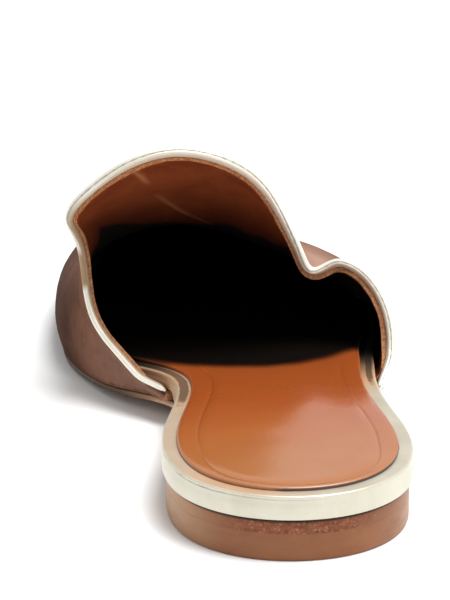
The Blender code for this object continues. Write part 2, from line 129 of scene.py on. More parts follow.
# Collar line: across, along, height
COLLAR_LINE = [
    (-33.3, 108.0, 13.3), (-41.6, 118.0, 23.0), (-43.3, 122.6, 31.5), (-45.2, 121.5, 41.9),
    (-47.9, 118.0, 49.5), (-41.1, 114.0, 60.0), (-31.9, 112.8, 66.2), (-20.8, 112.5, 69.0),
    (-9.5, 113.0, 66.9), (-1.0, 115.0, 61.8), (5.5, 118.0, 53.6), (9.8, 121.0, 44.5),
    (13.0, 124.0, 36.0), (15.8, 125.6, 31.7), (18.6, 126.0, 32.7), (21.8, 125.4, 34.2),
    (25.4, 124.0, 33.8), (31.0, 121.5, 29.5), (33.8, 118.0, 24.9), (35.2, 114.5, 18.6),
    (34.2, 110.0, 12.2),
]
print(len(FOOTBED), "outline rows,", len(VAMP), "vamp sections,", len(COLLAR_LINE), "collar points")

# %% [markdown]
# ### Curves
#
# Blender's curve objects could draw smooth lines through the tables, but it is awkward to read
# points back from them. A natural cubic spline in a few lines of NumPy gives any number of points
# at once. Lines are resampled by the length walked along them, so that neighbouring rows of a
# surface keep in step.

# %% Curves through tables
def smooth(table, at):
    """Natural cubic spline through a table whose first column is the key."""
    rows = np.array(table, float)
    key, value = rows[:, 0], rows[:, 1:]
    step = np.diff(key)
    system, right = np.eye(len(key)), np.zeros_like(value)
    right[1:-1] = 6 * np.diff(np.diff(value, axis=0) / step[:, None], axis=0)
    for i in range(1, len(key) - 1):
        system[i, i - 1:i + 2] = step[i - 1], 2 * (step[i - 1] + step[i]), step[i]
    bend = np.linalg.solve(system, right)
    at = np.atleast_1d(np.asarray(at, float))
    k = np.clip(np.searchsorted(key, at, side="right") - 1, 0, len(key) - 2)
    h = step[k][:, None]
    b = (at - key[k])[:, None] / h
    a = 1 - b
    bent = (a**3 - a) * bend[k] + (b**3 - b) * bend[k + 1]
    return a * value[k] + b * value[k + 1] + bent * h**2 / 6


def travel(points):
    """Length walked along a line, at each of its points."""
    return np.r_[0, np.cumsum(np.linalg.norm(np.diff(points, axis=0), axis=1))]


def along_line(points, share):
    """Points at shares of a line's length."""
    walked = travel(points)
    at = np.asarray(share) * walked[-1]
    return np.stack([np.interp(at, walked, axis) for axis in points.T], 1)


def curve_through(points, count):
    points = np.array(points, float)
    key = travel(points)
    return smooth(np.c_[key, points], np.linspace(0, key[-1], count))


def by_share(table, share):
    """Value for each share, straight between the rows of a table."""
    rows = np.array(table)
    return np.interp(share, rows[:, 0], rows[:, 1])


print("the collar line is", round(travel(curve_through(COLLAR_LINE, 400))[-1]), "mm long")

# %% [markdown]
# Three more small shapes are used everywhere: a soft step up or down, a soft hump, and a slow
# wandering. A Displace modifier would wander too, but only once the mesh is finished.

# %% Soft steps, humps and unevenness
def ease(x, start, end):
    """Soft step from 0 at start to 1 at end."""
    t = np.clip((np.asarray(x, float) - start) / (end - start), 0, 1)
    return t * t * (3 - 2 * t)


def fall(x, start, end):
    """Soft step from 1 at start to 0 at end."""
    return 1 - ease(x, start, end)


def bump_of(x, middle, width):
    """Soft hump of height 1."""
    return np.exp(-((np.asarray(x, float) - middle) / width) ** 2)


def unit(vectors):
    return vectors / np.linalg.norm(vectors, axis=-1, keepdims=True)


def ripple(points, size, seed):
    """Smooth wandering between about -1 and 1 at places given in millimetres."""
    shift = Vector((seed, 2.3 * seed, -seed))
    values = [noise.noise(Vector(p) / size + shift) for p in np.reshape(points, (-1, 3)).tolist()]
    return np.reshape(values, np.shape(points)[:-1])


print("half way up a step:", float(ease(0.5, 0, 1)))

# %% [markdown]
# ### Heights and outlines of the sole
#
# Seen from the side, the outsole rests on the heel, rises over the arch, lies flat under the ball
# of the foot and lifts at the toe. These heights could be measured on a mesh, but as plain
# functions of the place along the shoe every layer can ask for them, and all layers agree.

# %% Heights
def spring(y):
    lifted = np.clip((np.asarray(y) - SPRING_START) / (LENGTH - SPRING_START), 0, None)
    return TOE_SPRING * lifted ** 2


def underside(y):
    return (HEEL_HEIGHT + GAP) * fall(y, WAIST_START, FOREPART_START) + spring(y)


def outsole_top(y):
    return underside(y) + OUTSOLE + (OUTSOLE_HEEL - OUTSOLE) * fall(y, WAIST_START, SKIVE_END)


def seat(y):
    return outsole_top(y) + GAP


def bed(y):
    drop = fall(y, BED_DROP_START, FOREPART_START - 2)
    return BED + (HEEL_HEIGHT + GAP + BED_HEEL - BED) * drop + spring(y)


print("footbed at the heel", round(float(bed(0)), 1), "mm, at the ball", round(float(bed(165)), 1))

# %% [markdown]
# Seen from above, every layer is the footbed's outline, grown or shrunk by a little. A Solidify or
# an inset would do that too, but here point i of the lateral side has to face point i of the
# medial side, so that straight rungs can fill the layer.

# %% Outlines
def footbed_loop(count=1600):
    """Closed outline of the wrapped insole: heel back, lateral side, toe, medial side."""
    loop = [(0.0, 0.0)]
    loop += [(lateral, y) for y, lateral, _ in FOOTBED]
    loop += [TOE_TIP]
    loop += [(-medial, y) for y, _, medial in reversed(FOOTBED)]
    loop = np.array(loop)
    lap = 4
    padded = np.vstack([loop[-lap:], loop, loop[:lap + 1]])
    key = travel(padded)
    return smooth(np.c_[key, padded], np.linspace(key[lap], key[-lap - 1], count, endpoint=False))


def outward(loop):
    along = unit(np.roll(loop, -1, 0) - np.roll(loop, 1, 0))
    return np.c_[along[:, 1], -along[:, 0]]


def grown(loop, by):
    return loop + outward(loop) * np.reshape(by, (-1, 1))


def sides(loop):
    """Lateral and medial side of a loop, each running from heel to toe."""
    loop = np.roll(loop, -loop[:, 1].argmin(), 0)
    tip = loop[:, 1].argmax()
    return loop[:tip + 1], np.vstack([loop[tip:], loop[:1]])[::-1]


FOOTBED_LOOP = footbed_loop()
print("footbed", round(float(np.ptp(FOOTBED_LOOP[:, 0])), 1), "mm wide at the forepart")

# %% Steps along the outline
STEPS_ALONG, TURN_WEIGHT = 170, 14.0


def at_stations(side, station):
    """Points of one side of an outline at given places along the shoe."""
    return np.c_[np.interp(station, side[:, 1], side[:, 0]), station]


def side_points(loop, share):
    lateral, medial = sides(loop)
    station = lateral[0, 1] + np.asarray(share) * (lateral[-1, 1] - lateral[0, 1])
    return [at_stations(side, station) for side in (lateral, medial)]


def step_shares(loop):
    """Steps from heel to toe, closer together where the outline turns."""
    fine = (1 - np.cos(np.linspace(0, math.pi, 900))) / 2
    effort = np.zeros(len(fine))
    for side in side_points(loop, fine):
        way = np.gradient(side, axis=0)
        heading = np.unwrap(np.arctan2(way[:, 1], way[:, 0]))
        effort += travel(side) + TURN_WEIGHT * np.r_[0, np.cumsum(np.abs(np.diff(heading)))]
    return np.interp(np.linspace(0, effort[-1], STEPS_ALONG + 1), effort, fine)


def ring(loop):
    """Loop resampled so that point i of the lateral side faces point i of the medial side."""
    lateral, medial = side_points(loop, STEP_SHARES)
    return np.vstack([lateral, medial[-2:0:-1]])


STEP_SHARES = step_shares(FOOTBED_LOOP)
waist = np.ptp(side_points(FOOTBED_LOOP, [0.35]), axis=0)[0, 0]
print("waist", round(float(waist), 1), "mm wide;", STEPS_ALONG, "steps from heel to toe")

# %% Feather line and place in the frame
FEATHER_LOOP = grown(FOOTBED_LOOP, GAP + WALL)
FEATHER = {inset: sides(grown(FEATHER_LOOP, -inset)) for inset in (0.0, WALL)}
TOE = FEATHER_LOOP[:, 1].max()


def feather(side, y, inset=0.0):
    """Across position of the line where the vamp turns under; side 0 lateral, 1 medial."""
    line = FEATHER[inset][side]
    return np.interp(y, line[:, 1], line[:, 0])


# The construction's board tells where the last stands in the shared frame.
board_low = np.array(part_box("insole_board")[0])
board_rim = grown(FOOTBED_LOOP, -(WRAP + GAP))
SHIFT = np.r_[1000 * board_low[:2] - board_rim.min(axis=0), 0]


def place(points):
    """Millimetres on the last to metres in the shared frame."""
    return (np.asarray(points, float) + SHIFT) * 0.001


print("the last stands at", SHIFT.round(2), "mm; toe at", round(float(TOE), 1))

# %% [markdown]
# ### The vamp's surface
#
# A vamp could be sculpted, or a coarse cage could be subdivided. Sections are used instead, as on
# a maker's drawing, because each one can be checked by its own sizes. A section rises from the
# feather edge to its widest place and rolls over to the crown.

# %% Sections of the vamp
LOW_STEPS, ROOF_STEPS = 15, 90


def flank(edge, ridge, base, belt, crown, swell, wall_handle, roof_handle):
    """One side of a section; the handles work as on a drawn curve."""
    out = math.copysign(swell, edge - ridge)
    low = np.linspace(0, 1, LOW_STEPS + 1)[:-1][:, None]
    lower = np.hstack([edge + out * np.sin(low * math.pi / 2), base + (belt - base) * low])
    widest = np.array([edge + out, belt])
    top = np.array([ridge, crown])
    rise = np.array([0, wall_handle * (crown - belt)])
    reach = np.array([roof_handle * (ridge - widest[0]), 0])
    t = np.linspace(0, 1, ROOF_STEPS)[:, None]
    upper = ((1 - t) ** 3 * widest + 3 * (1 - t) ** 2 * t * (widest + rise)
             + 3 * (1 - t) * t**2 * (top - reach) + t**3 * top)
    return np.vstack([lower, upper])


def section(station, share):
    """Section of the vamp's skin, medial feather edge (share 0) to lateral edge (share 1)."""
    crown, ridge, *forms = smooth(VAMP, station)[0]
    base = float(seat(station))
    past = max(station - NOSE, 0) / (TOE - NOSE)
    nose = max(1 - past ** NOSE_FULLNESS, 0) ** (1 / NOSE_FULLNESS)
    crown = base + (crown - CROWN_DATUM) * nose
    belt = base + BELT * (crown - base)
    medial, lateral = (
        flank(feather(side, station), ridge, base, belt, crown, swell * nose, wall, roof)
        for side, (swell, wall, roof) in ((1, forms[:3]), (0, forms[3:])))
    line = along_line(np.vstack([medial, lateral[::-1][1:]]), share)
    return np.c_[line[:, 0], np.full(len(line), station), line[:, 1]]


middle_section = section(COLLAR, np.linspace(0, 1, 50))
print("first whole section is", round(float(np.ptp(middle_section[:, 0])), 1), "mm wide")

# %% [markdown]
# Between the collar line and the first whole section the surface follows curves that leave the
# collar and arrive in the vamp's own direction. Cutting the mouth out of a whole vamp would be
# quicker, but a boolean leaves ragged faces along the very edge that is seen most.

# %% Surface near the collar
# Share of the way across in which a row is drawn to the feather line
SIDE_FADE = 0.2


def collar_line(share):
    first, last = ((feather(side, y), y, seat(y))
                   for side, y in ((1, MEDIAL_START), (0, LATERAL_START)))
    return along_line(curve_through([first] + COLLAR_LINE + [last], 2400), share)


def collar_rows(share, depth):
    """Rows between the collar (depth 0) and the first whole section (depth 1)."""
    start = collar_line(share)
    end = section(COLLAR, share)
    lead = (section(COLLAR + 1, share) - end) * (end[:, 1] - start[:, 1])[:, None]
    leave = (3 * (end - start) - lead) / 2
    rows = []
    for t in depth:
        t = np.reshape(t * np.ones(len(share)), (-1, 1))
        row = ((2 * t**3 - 3 * t**2 + 1) * start + (t**3 - 2 * t**2 + t) * leave
               + (3 * t**2 - 2 * t**3) * end + (t**3 - t**2) * lead)
        for side, column in ((1, 0), (0, -1)):
            y = row[column, 1]
            true = np.array([feather(side, y), y, seat(y)])
            fade = np.clip(1 - np.abs(share - share[column]) / SIDE_FADE, 0, 1) ** 2
            row = row + fade[:, None] * (true - row[column])
        rows.append(row)
    return np.array(rows)


peak = collar_line(np.linspace(0, 1, 400))[:, 2].max()
print("collar peak", round(float(peak), 1), "mm over the floor")


# %% Steps on the vamp
def setback(share, distance):
    """Depth at which the surface is a given distance inside the collar line."""
    step = 0.02
    line = collar_line(share)
    near = collar_rows(share, [step])[0] - line
    way = np.gradient(line, axis=0)
    slant = np.linalg.norm(np.cross(near, way), axis=1) / np.linalg.norm(way, axis=1)
    return distance * step / slant


def columns(count):
    """Shares across the vamp, closer together round the collar's ear and its dip."""
    share = np.linspace(0, 1, 600)
    weight = 1 + 0.9 * bump_of(share, EAR, 0.07) + 1.4 * bump_of(share, DIP, 0.06)
    walked = np.r_[0, np.cumsum((weight[1:] + weight[:-1]) / 2)]
    return np.interp(np.linspace(0, walked[-1], count), walked, share)


def surface_normals(grid):
    return unit(np.cross(np.gradient(grid, axis=1), np.gradient(grid, axis=0)))


print("closest steps across:", round(float(np.diff(columns(290)).min()), 5), "of the vamp")

# %% [markdown]
# ## Building meshes by rows
#
# Most pieces here are closed shells made of rows of points: neighbouring rows are bridged with
# quads, a loop is closed by a cap, and a row of ends meets in a pole. Bridging edge loops in Edit
# Mode does the same by hand. A small class does it from the script, and keeps values at every
# point that the finishes read later.

# %% Mesh helpers
def in_scene(name, data):
    made = bpy.data.objects.new(name, data)
    bpy.context.scene.collection.objects.link(made)
    return made


def outwards(mesh):
    """Turns the faces of a closed mesh to the outside."""
    work = bmesh.new()
    work.from_mesh(mesh)
    bmesh.ops.recalc_face_normals(work, faces=work.faces)
    open_edges = sum(len(edge.link_faces) != 2 for edge in work.edges)
    work.to_mesh(mesh)
    work.free()
    if open_edges:
        print("  warning:", open_edges, "open edges in", mesh.name)


print("mesh helpers ready")


# %% Shell class
class Shell:
    """Rows of points on the last that become one closed mesh.

    Every point keeps three values for the finishes: wear, depth and tone. Wear also lays painted
    light and painted shade on some pieces; depth is painted shade, mostly inside the shoe, 1 is
    dark, except on the outsole, where it marks the grainy edge; tone is painted light, painted
    shade or the tan of worn gold, piece by piece.
    """

    def __init__(self):
        self.points, self.faces, self.finish = [], [], []
        self.values = {"wear": [], "depth": [], "tone": []}

    def row(self, points, *values):
        """Adds points with their wear, depth and tone, each 0 if it isn't given."""
        first = len(self.points)
        self.points.extend(np.asarray(points, float).tolist())
        for kept, value in zip(self.values.values(), values + (0.0, 0.0, 0.0)):
            kept.extend((value * np.ones(len(points))).tolist())
        return list(range(first, len(self.points)))

    def face(self, corners, finish=0):
        self.faces.append(corners)
        self.finish.append(finish)

    def bridge(self, rows, closed=False, finish=0):
        """Quads between each row and the next."""
        for one, other in zip(rows, rows[1:]):
            for i in range(len(one) if closed else len(one) - 1):
                j = (i + 1) % len(one)
                self.face((one[i], one[j], other[j], other[i]), finish)

    def fan(self, line, pole, closed=False, finish=0):
        for i in range(len(line) if closed else len(line) - 1):
            self.face((line[i], line[(i + 1) % len(line)], pole), finish)

    def ladder(self, loop, height, steps, wear=0.0, depth=None):
        """Cap of a footbed ring: straight rungs from side to side, each in several steps."""
        half = len(loop) // 2
        rungs = []
        for i in range(1, half):
            a, b = (np.array(self.points[k]) for k in (loop[i], loop[-i]))
            inside = a + (b - a) * np.linspace(0, 1, steps + 1)[1:-1, None]
            x, y = inside[:, :2].T
            inside[:, 2] = height(x, y)
            rung = self.row(inside, wear, depth(x, y) if depth else 0.0)
            rungs.append([loop[i]] + rung + [loop[-i]])
        self.bridge(rungs)
        self.fan(rungs[0], loop[0])
        self.fan(rungs[-1], loop[half])

    def piece(self, name, finishes, sharp=50.0):
        mesh = bpy.data.meshes.new(name)
        mesh.from_pydata(place(self.points).tolist(), [], self.faces)
        for finish in finishes:
            mesh.materials.append(finish.material)
        mesh.polygons.foreach_set("material_index", self.finish)
        for title, values in self.values.items():
            mesh.attributes.new(title, "FLOAT", "POINT").data.foreach_set("value", values)
        outwards(mesh)
        mesh.shade_smooth()
        mesh.set_sharp_from_angle(angle=math.radians(sharp))
        made = in_scene(name, mesh)
        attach(made, "root")
        print(name + ":", len(mesh.polygons), "faces")
        return made


print("shell class ready; values kept:", list(Shell().values))

# %% [markdown]
# ## Finishes
#
# Leather and suede could be painted as pictures, but a picture needs an unwrapped surface and
# blurs close up. Patterns computed from Object coordinates stay on the piece from every side. They
# come from a few shared effects, grain, nap, wear and shade: each is a shader node group with named
# inputs, built once, and each finish uses it with its own values.

# %% Node helpers
def colour(code):
    """Colour of a swatch given as a six-figure code, as the renderer needs it."""
    parts = [int(code[k:k + 2], 16) / 255 for k in (0, 2, 4)]
    linear = [p / 12.92 if p <= 0.04045 else ((p + 0.055) / 1.055) ** 2.4 for p in parts]
    return (*linear, 1.0)


class Tree:
    """Adds nodes to one tree. A value is a number, a swatch code or the socket it comes from."""

    def __init__(self, tree, where=None, prefix="ShaderNode"):
        self.tree, self.where, self.prefix = tree, where, prefix

    def add(self, kind, inputs=None, **settings):
        node = self.tree.nodes.new(self.prefix + kind)
        for name, value in settings.items():
            setattr(node, name, value)
        for name, value in (inputs or {}).items():
            self.feed(node.inputs[name], value)
        return node

    def feed(self, socket, value):
        if isinstance(value, bpy.types.NodeSocket):
            self.tree.links.new(value, socket)
        else:
            socket.default_value = colour(value) if isinstance(value, str) else value

    def maths(self, operation, one, other=0.0):
        return self.add("Math", {0: one, 1: other}, operation=operation).outputs[0]

    def plus(self, one, other):
        return self.maths("ADD", one, other)

    def minus(self, one, other):
        return self.maths("SUBTRACT", one, other)

    def times(self, one, other):
        return self.maths("MULTIPLY", one, other)

    def axis(self, name):
        return self.add("SeparateXYZ", {"Vector": self.where}).outputs[name]

    def remap(self, value, low, high, to_low=0.0, to_high=1.0):
        limits = {"From Min": low, "From Max": high, "To Min": to_low, "To Max": to_high}
        return self.add("MapRange", {"Value": value, **limits},
                        interpolation_type="SMOOTHSTEP").outputs["Result"]

    def blend(self, share, one, other):
        return self.add("Mix", {0: share, 6: one, 7: other}, data_type="RGBA").outputs[2]

    def mottled(self, value, one, other, low=0.35, high=0.65):
        """Two swatches in patches, mixed where a noise runs from low to high."""
        return self.blend(self.remap(value, low, high), one, other)

    def coats(self, ground, *laid):
        """Coats laid on a ground colour one after the other, each as (where it shows, colour)."""
        for share, swatch in laid:
            ground = self.blend(share, ground, swatch)
        return ground

    def noise(self, scale, detail=3.0, roughness=0.55, distortion=0.0, stretch=None):
        at = self.where
        if stretch:
            at = self.add("Mapping", {"Vector": at, "Scale": stretch}).outputs["Vector"]
        return self.add("TexNoise", {"Vector": at, "Scale": scale, "Detail": detail,
                                     "Roughness": roughness,
                                     "Distortion": distortion}).outputs["Fac"]


print("white as the renderer needs it:", colour("ffffff"))


# %% Effect groups
def effect(name, inputs, outputs):
    """New shader node group; returns its tree, its input sockets and its output sockets."""
    group = bpy.data.node_groups.new(name, "ShaderNodeTree")
    group.interface.new_socket("Vector", in_out="INPUT", socket_type="NodeSocketVector")
    for title, default in inputs.items():
        socket = group.interface.new_socket(title, in_out="INPUT", socket_type="NodeSocketFloat")
        socket.default_value = default
    for title in outputs:
        group.interface.new_socket(title, in_out="OUTPUT", socket_type="NodeSocketFloat")
    given = group.nodes.new("NodeGroupInput").outputs
    return Tree(group, given["Vector"]), given, group.nodes.new("NodeGroupOutput").inputs


print("effect groups can be made")

# %% [markdown]
# ### Grain, nap, wear and shade
#
# Smooth leather shows small pebbles and faint pores. Suede has a nap: short fibres that lie in
# strokes, light one way and dark the other, over a cloudy, patchy ground. Hair particles would give
# real fibres, but at this length a fine noise in the bump looks the same. Edges that are handled
# rub lighter, and the same broken mask lays painted light and painted shade where a piece asks for
# it. Shade is painted on the inside of a shoe, darker towards the toe.

# %% Grain and nap
grain, given, result = effect("leather grain", {"Size": 900.0, "Pores": 0.4}, ("Height", "Cloud"))
size = given["Size"]
pebble = grain.add("TexVoronoi", {"Vector": given["Vector"], "Scale": size}, feature="SMOOTH_F1")
fold = grain.noise(grain.times(size, 0.35), 4.0, 0.6, 0.4)
pore = grain.noise(grain.times(size, 2.6), 2.0)
pit = grain.times(grain.remap(pore, 0.62, 0.72), given["Pores"])
relief = grain.plus(grain.times(pebble.outputs["Distance"], 0.6), fold)
grain.feed(result["Height"], grain.minus(relief, pit))
grain.feed(result["Cloud"], grain.noise(70.0, 4.0, 0.6, 0.3))

nap, given, result = effect("suede nap", {"Patch": 200.0, "Stroke": 500.0},
                            ("Height", "Light", "Fleck"))
patchy = nap.noise(given["Patch"], 4.0, 0.65, 0.2)
broad = nap.noise(nap.times(given["Patch"], 0.35), 2.0, 0.5)
lying = nap.noise(given["Stroke"], 4.0, 0.7, stretch=(1.0, 1.0, 0.8))
fibre = nap.noise(2600.0, 2.0, 0.7, stretch=(1.0, 1.0, 0.7))
light = nap.plus(nap.plus(nap.times(patchy, 0.4), nap.times(broad, 0.45)), nap.times(lying, 0.15))
nap.feed(result["Light"], nap.remap(light, 0.39, 0.61))
nap.feed(result["Fleck"], nap.remap(fibre, 0.4, 0.68))
nap.feed(result["Height"], nap.plus(fibre, nap.times(lying, 1.6)))
print("grain and nap made")

# %% Wear and shade
# mask for wear, and for painted light and painted shade where a piece asks for it
wear_and_light, given, result = effect("wear and painted light", {"Amount": 0.0}, ("Mask",))
broken = wear_and_light.times(wear_and_light.minus(wear_and_light.noise(480.0, 4.0, 0.7), 0.5), 0.9)
wear_and_light.feed(result["Mask"], wear_and_light.remap(wear_and_light.plus(given["Amount"], broken), 0.35, 0.75))

deep, given, result = effect("inside shade", {"Depth": 0.0, "Soft": 0.38}, ("Mask", "Fall"))
wander = deep.times(deep.minus(deep.noise(60.0), 0.5), 0.1)
inside = deep.plus(given["Depth"], wander)
still_clear = deep.remap(inside, deep.minus(1.0, given["Soft"]), 1.0, 1.0, 0.0)
deep.feed(result["Mask"], deep.minus(1.0, deep.maths("POWER", still_clear, 2.0)))
deep.feed(result["Fall"], deep.remap(inside, -0.15, 1.0))
print("shared effects:", [group.name for group in bpy.data.node_groups])

# %% [markdown]
# ### From effects to finishes
#
# A finish starts as a Principled shader with its plain values set on its own sockets. The groups
# then drive only what changes over the surface: colour, roughness and the bump. Colour is built up
# as a maker would, in coats over a ground.

# %% Finish class
class Finish(Tree):
    """One material, with the shared effects and the values that a shell keeps at its points."""

    def __init__(self, name, **plain):
        self.material = bpy.data.materials.new(name)
        self.material.use_nodes = True
        super().__init__(self.material.node_tree)
        self.where = self.add("TexCoord").outputs["Object"]
        self.drive(**plain)

    def drive(self, **sockets):
        """Sets or links sockets of the shader; an underscore stands for a space."""
        shader = self.tree.nodes["Principled BSDF"]
        for title, value in sockets.items():
            self.feed(shader.inputs[title.replace("_", " ")], value)

    def use(self, group, **inputs):
        return self.add("Group", {"Vector": self.where, **inputs}, node_tree=group.tree).outputs

    def kept(self, name):
        return self.add("Attribute", attribute_name=name).outputs["Fac"]

    def wear_and_painted_light(self):
        return self.use(wear_and_light, Amount=self.kept("wear"))["Mask"]

    def bump(self, height, distance, strength):
        relief = {"Height": height, "Distance": distance, "Strength": strength}
        self.drive(Normal=self.add("Bump", relief).outputs["Normal"])


def fibrous(name, roughness, swatches, bump, *fibre_noise):
    """Bare fibres or thread, where one noise gives both the colour and the relief."""
    made = Finish(name, Roughness=roughness)
    fibres = made.noise(*fibre_noise)
    made.drive(Base_Color=made.mottled(fibres, *swatches))
    made.bump(fibres, *bump)
    return made


raw = fibrous("raw leather edge", 0.85, ("7a4a2c", "b07c54"), (0.0002, 0.7), 1600.0, 4.0, 0.7)
thread = fibrous("grey binding thread", 0.7, ("8a8376", "aca596"), (0.0001, 0.5), 2600.0, 2.0)
pressed = fibrous("pressed fibre board", 0.9, ("7c6646", "a58e68"), (0.0003, 0.5), 900.0, 5.0, 0.7)
print("plain fibrous finishes:", raw.material.name, thread.material.name, pressed.material.name)

# %% [markdown]
# ### Suede
#
# The vamp is mauve brown suede, with patches where fingers have turned the fibres. Light from above
# is painted on it as a lighter coat high on the vamp, painted light lies on its lit lateral top,
# and painted shadow darkens its medial side low down; along the feather edge it is worn darker. A
# strong sheen would whiten its outline all round, so only a little is used and the painted light
# and shade are coats of colour.

# %% Suede
suede = Finish("mauve brown suede", Roughness=0.95, Sheen_Weight=0.08, Sheen_Roughness=0.3,
               Sheen_Tint="d8b8a8", Specular_IOR_Level=0.05)
brushed = suede.use(nap, Patch=200.0, Stroke=500.0)
# painted light from above: the suede is coated lighter high on the vamp
high = suede.remap(suede.axis("Z"), 0.012, 0.046)
suede.drive(Base_Color=suede.coats(
    suede.blend(brushed["Light"], "4c2f24", "6d4735"),
    (suede.times(high, 0.3), "835941"),
    # painted light on the lit lateral top, and a lighter medial waist (tone)
    (suede.kept("tone"), "c2a08f"),
    (suede.times(brushed["Fleck"], 0.24), "95694f"),
    # painted shadow low on the medial side (depth)
    (suede.kept("depth"), "2e1c14"),
    (suede.wear_and_painted_light(), "563628")))
suede.bump(brushed["Height"], 0.00022, 0.6)
print("suede ready:", len(suede.tree.nodes), "nodes")

# %% [markdown]
# ### Lining leathers
#
# The lining and the sock are the same orange tan leather. The sock is glazed and shines. The cut
# edge of the lining, just inside the binding, shows the raw fibres of the leather. Hardly any light
# comes in under the roof of the vamp; a coat of shade, laid by the depth kept at each point,
# darkens it further towards the toe.

# %% Tan leathers
tan = Finish("tan lining leather", Specular_IOR_Level=0.15)
skin = tan.use(grain, Size=1000.0, Pores=0.3)
shade = tan.use(deep, Depth=tan.kept("depth"), Soft=0.16)
trimmed = tan.remap(tan.kept("wear"), 0.25, 0.7)
tan.drive(Roughness=tan.remap(trimmed, 0.0, 1.0, 0.55, 0.85), Base_Color=tan.coats(
    tan.mottled(skin["Cloud"], "682d13", "7c3b1b"),
    (tan.kept("tone"), "b0714a"),
    (shade["Fall"], "3a1608"),
    # painted highlight on the lining's puckers (tone)
    (shade["Mask"], "0f0c0a"),
    (trimmed, tan.mottled(tan.noise(1500.0, 4.0, 0.7), "84481f", "c48a5c"))))
tan.bump(skin["Height"], 0.00012, 0.4)

glazed = Finish("glazed tan sock leather", Specular_IOR_Level=1.0)
skin = glazed.use(grain, Size=800.0, Pores=0.25)
dark = glazed.use(deep, Depth=glazed.kept("depth"))["Mask"]
along = glazed.remap(glazed.axis("Y"), -0.115, -0.055)
glazed.drive(Base_Color=glazed.coats(
    glazed.blend(along, "a06334", "9e4d21"),
    (glazed.times(glazed.remap(skin["Cloud"], 0.3, 0.7), 0.2), "90451c"),
    # painted shadow along the sock's edge, at its nicks and in its pressed line
    (glazed.wear_and_painted_light(), "3c2114"),
    (dark, "120e0b")))
dull = glazed.remap(glazed.kept("wear"), 0.12, 0.3, 0.0, 0.25)
glazed.drive(Roughness=glazed.plus(glazed.remap(skin["Cloud"], 0.2, 0.8, 0.16, 0.22), dull))
glazed.bump(skin["Height"], 0.00006, 0.3)
print("tan leathers ready:", len(tan.tree.nodes), "and", len(glazed.tree.nodes), "nodes")

# %% [markdown]
# ### Gold leather
#
# The binding and the insole's strip are a pale gold foil on leather: half metal, softly grained. A
# full metal would mirror the white room and lose its colour. Where feet and hands rub the strip, at
# the waist and along its edges, the foil thins, its shine goes and the tan shows through. On the
# bead the tan coat is painted shade instead, and a dark coat is painted shade in its groove; on the
# strip the dark coat is painted shade in its crease and a darker band along the middle of its flap.
# Both take painted shade inside the vamp.

# %% Gold leather
def gold_leather(name, pale, deep_tone, worn_and_shaded_tone, shade_and_dark_band, shine):
    gold = Finish(name, Specular_IOR_Level=shine)
    skin = gold.use(grain, Size=1300.0, Pores=0.5)
    wear_and_painted_light, tone = gold.wear_and_painted_light(), gold.kept("tone")
    dark = gold.use(deep, Depth=gold.kept("depth"))["Mask"]
    gold.drive(Base_Color=gold.coats(
        gold.mottled(skin["Cloud"], deep_tone, pale, 0.3, 0.7),
        (tone, worn_and_shaded_tone),
        (gold.times(wear_and_painted_light, 0.8), shade_and_dark_band),
        (dark, "060504")))
    lit, unmarked = gold.remap(dark, 0.0, 1.0, 1.0, 0.0), gold.remap(wear_and_painted_light, 0.0, 1.0, 1.0, 0.2)
    foil = gold.times(gold.times(lit, unmarked), gold.remap(tone, 0.0, 0.9, 0.4, 0.0))
    gold.drive(Metallic=foil, Roughness=gold.remap(wear_and_painted_light, 0.0, 1.0, 0.36, 0.8))
    gold.bump(skin["Height"], 0.00007, 0.35)
    return gold


bead_gold = gold_leather("gold binding leather", "eeece2", "e0dccd", "94744c", "8f8a7c", 0.5)
strip_gold = gold_leather("gold strip leather", "d0ccbc", "c4c0ae", "b8824f", "3c2210", 0.2)
print("gold leathers ready:", bead_gold.material.name, "and", strip_gold.material.name)

# %% [markdown]
# ### Sole leather, heel and board
#
# The outsole's cut edge is grainy, with light flecks of fibre. The heel is smooth stacked leather
# under a clear polish. Both could share one material, but the heel has thin stretched layers and a
# coat, and the outsole has neither. What they share is a painted reflection of the white room, a
# paler colour towards both sides, so that is one more group. The board is pressed fibre and hardly
# seen, so the construction's own mesh is kept for it.

# %% Painted reflection on the sides
painted_reflection, given, result = effect("painted side reflection", {"Middle": 0.0, "From": 0.019, "To": 0.031}, ("Mask",))
across = painted_reflection.maths("ABSOLUTE", painted_reflection.minus(painted_reflection.axis("X"), given["Middle"]))
painted_reflection.feed(result["Mask"], painted_reflection.times(painted_reflection.remap(across, given["From"], given["To"]), 0.6))


def tan_with_painted_reflection(finish, cloud):
    """Tan of the sole and the heel, in patches, with a painted reflection that makes it paler
    towards both sides of the heel's middle.
    """
    side_reflection = finish.use(painted_reflection, Middle=0.001 * (SHIFT[0] + 2))["Mask"]
    return finish.blend(side_reflection, finish.mottled(cloud, "7b4824", "88542e", 0.3, 0.7), "b98f66")


print("painted side reflection:", len(painted_reflection.tree.nodes), "nodes")

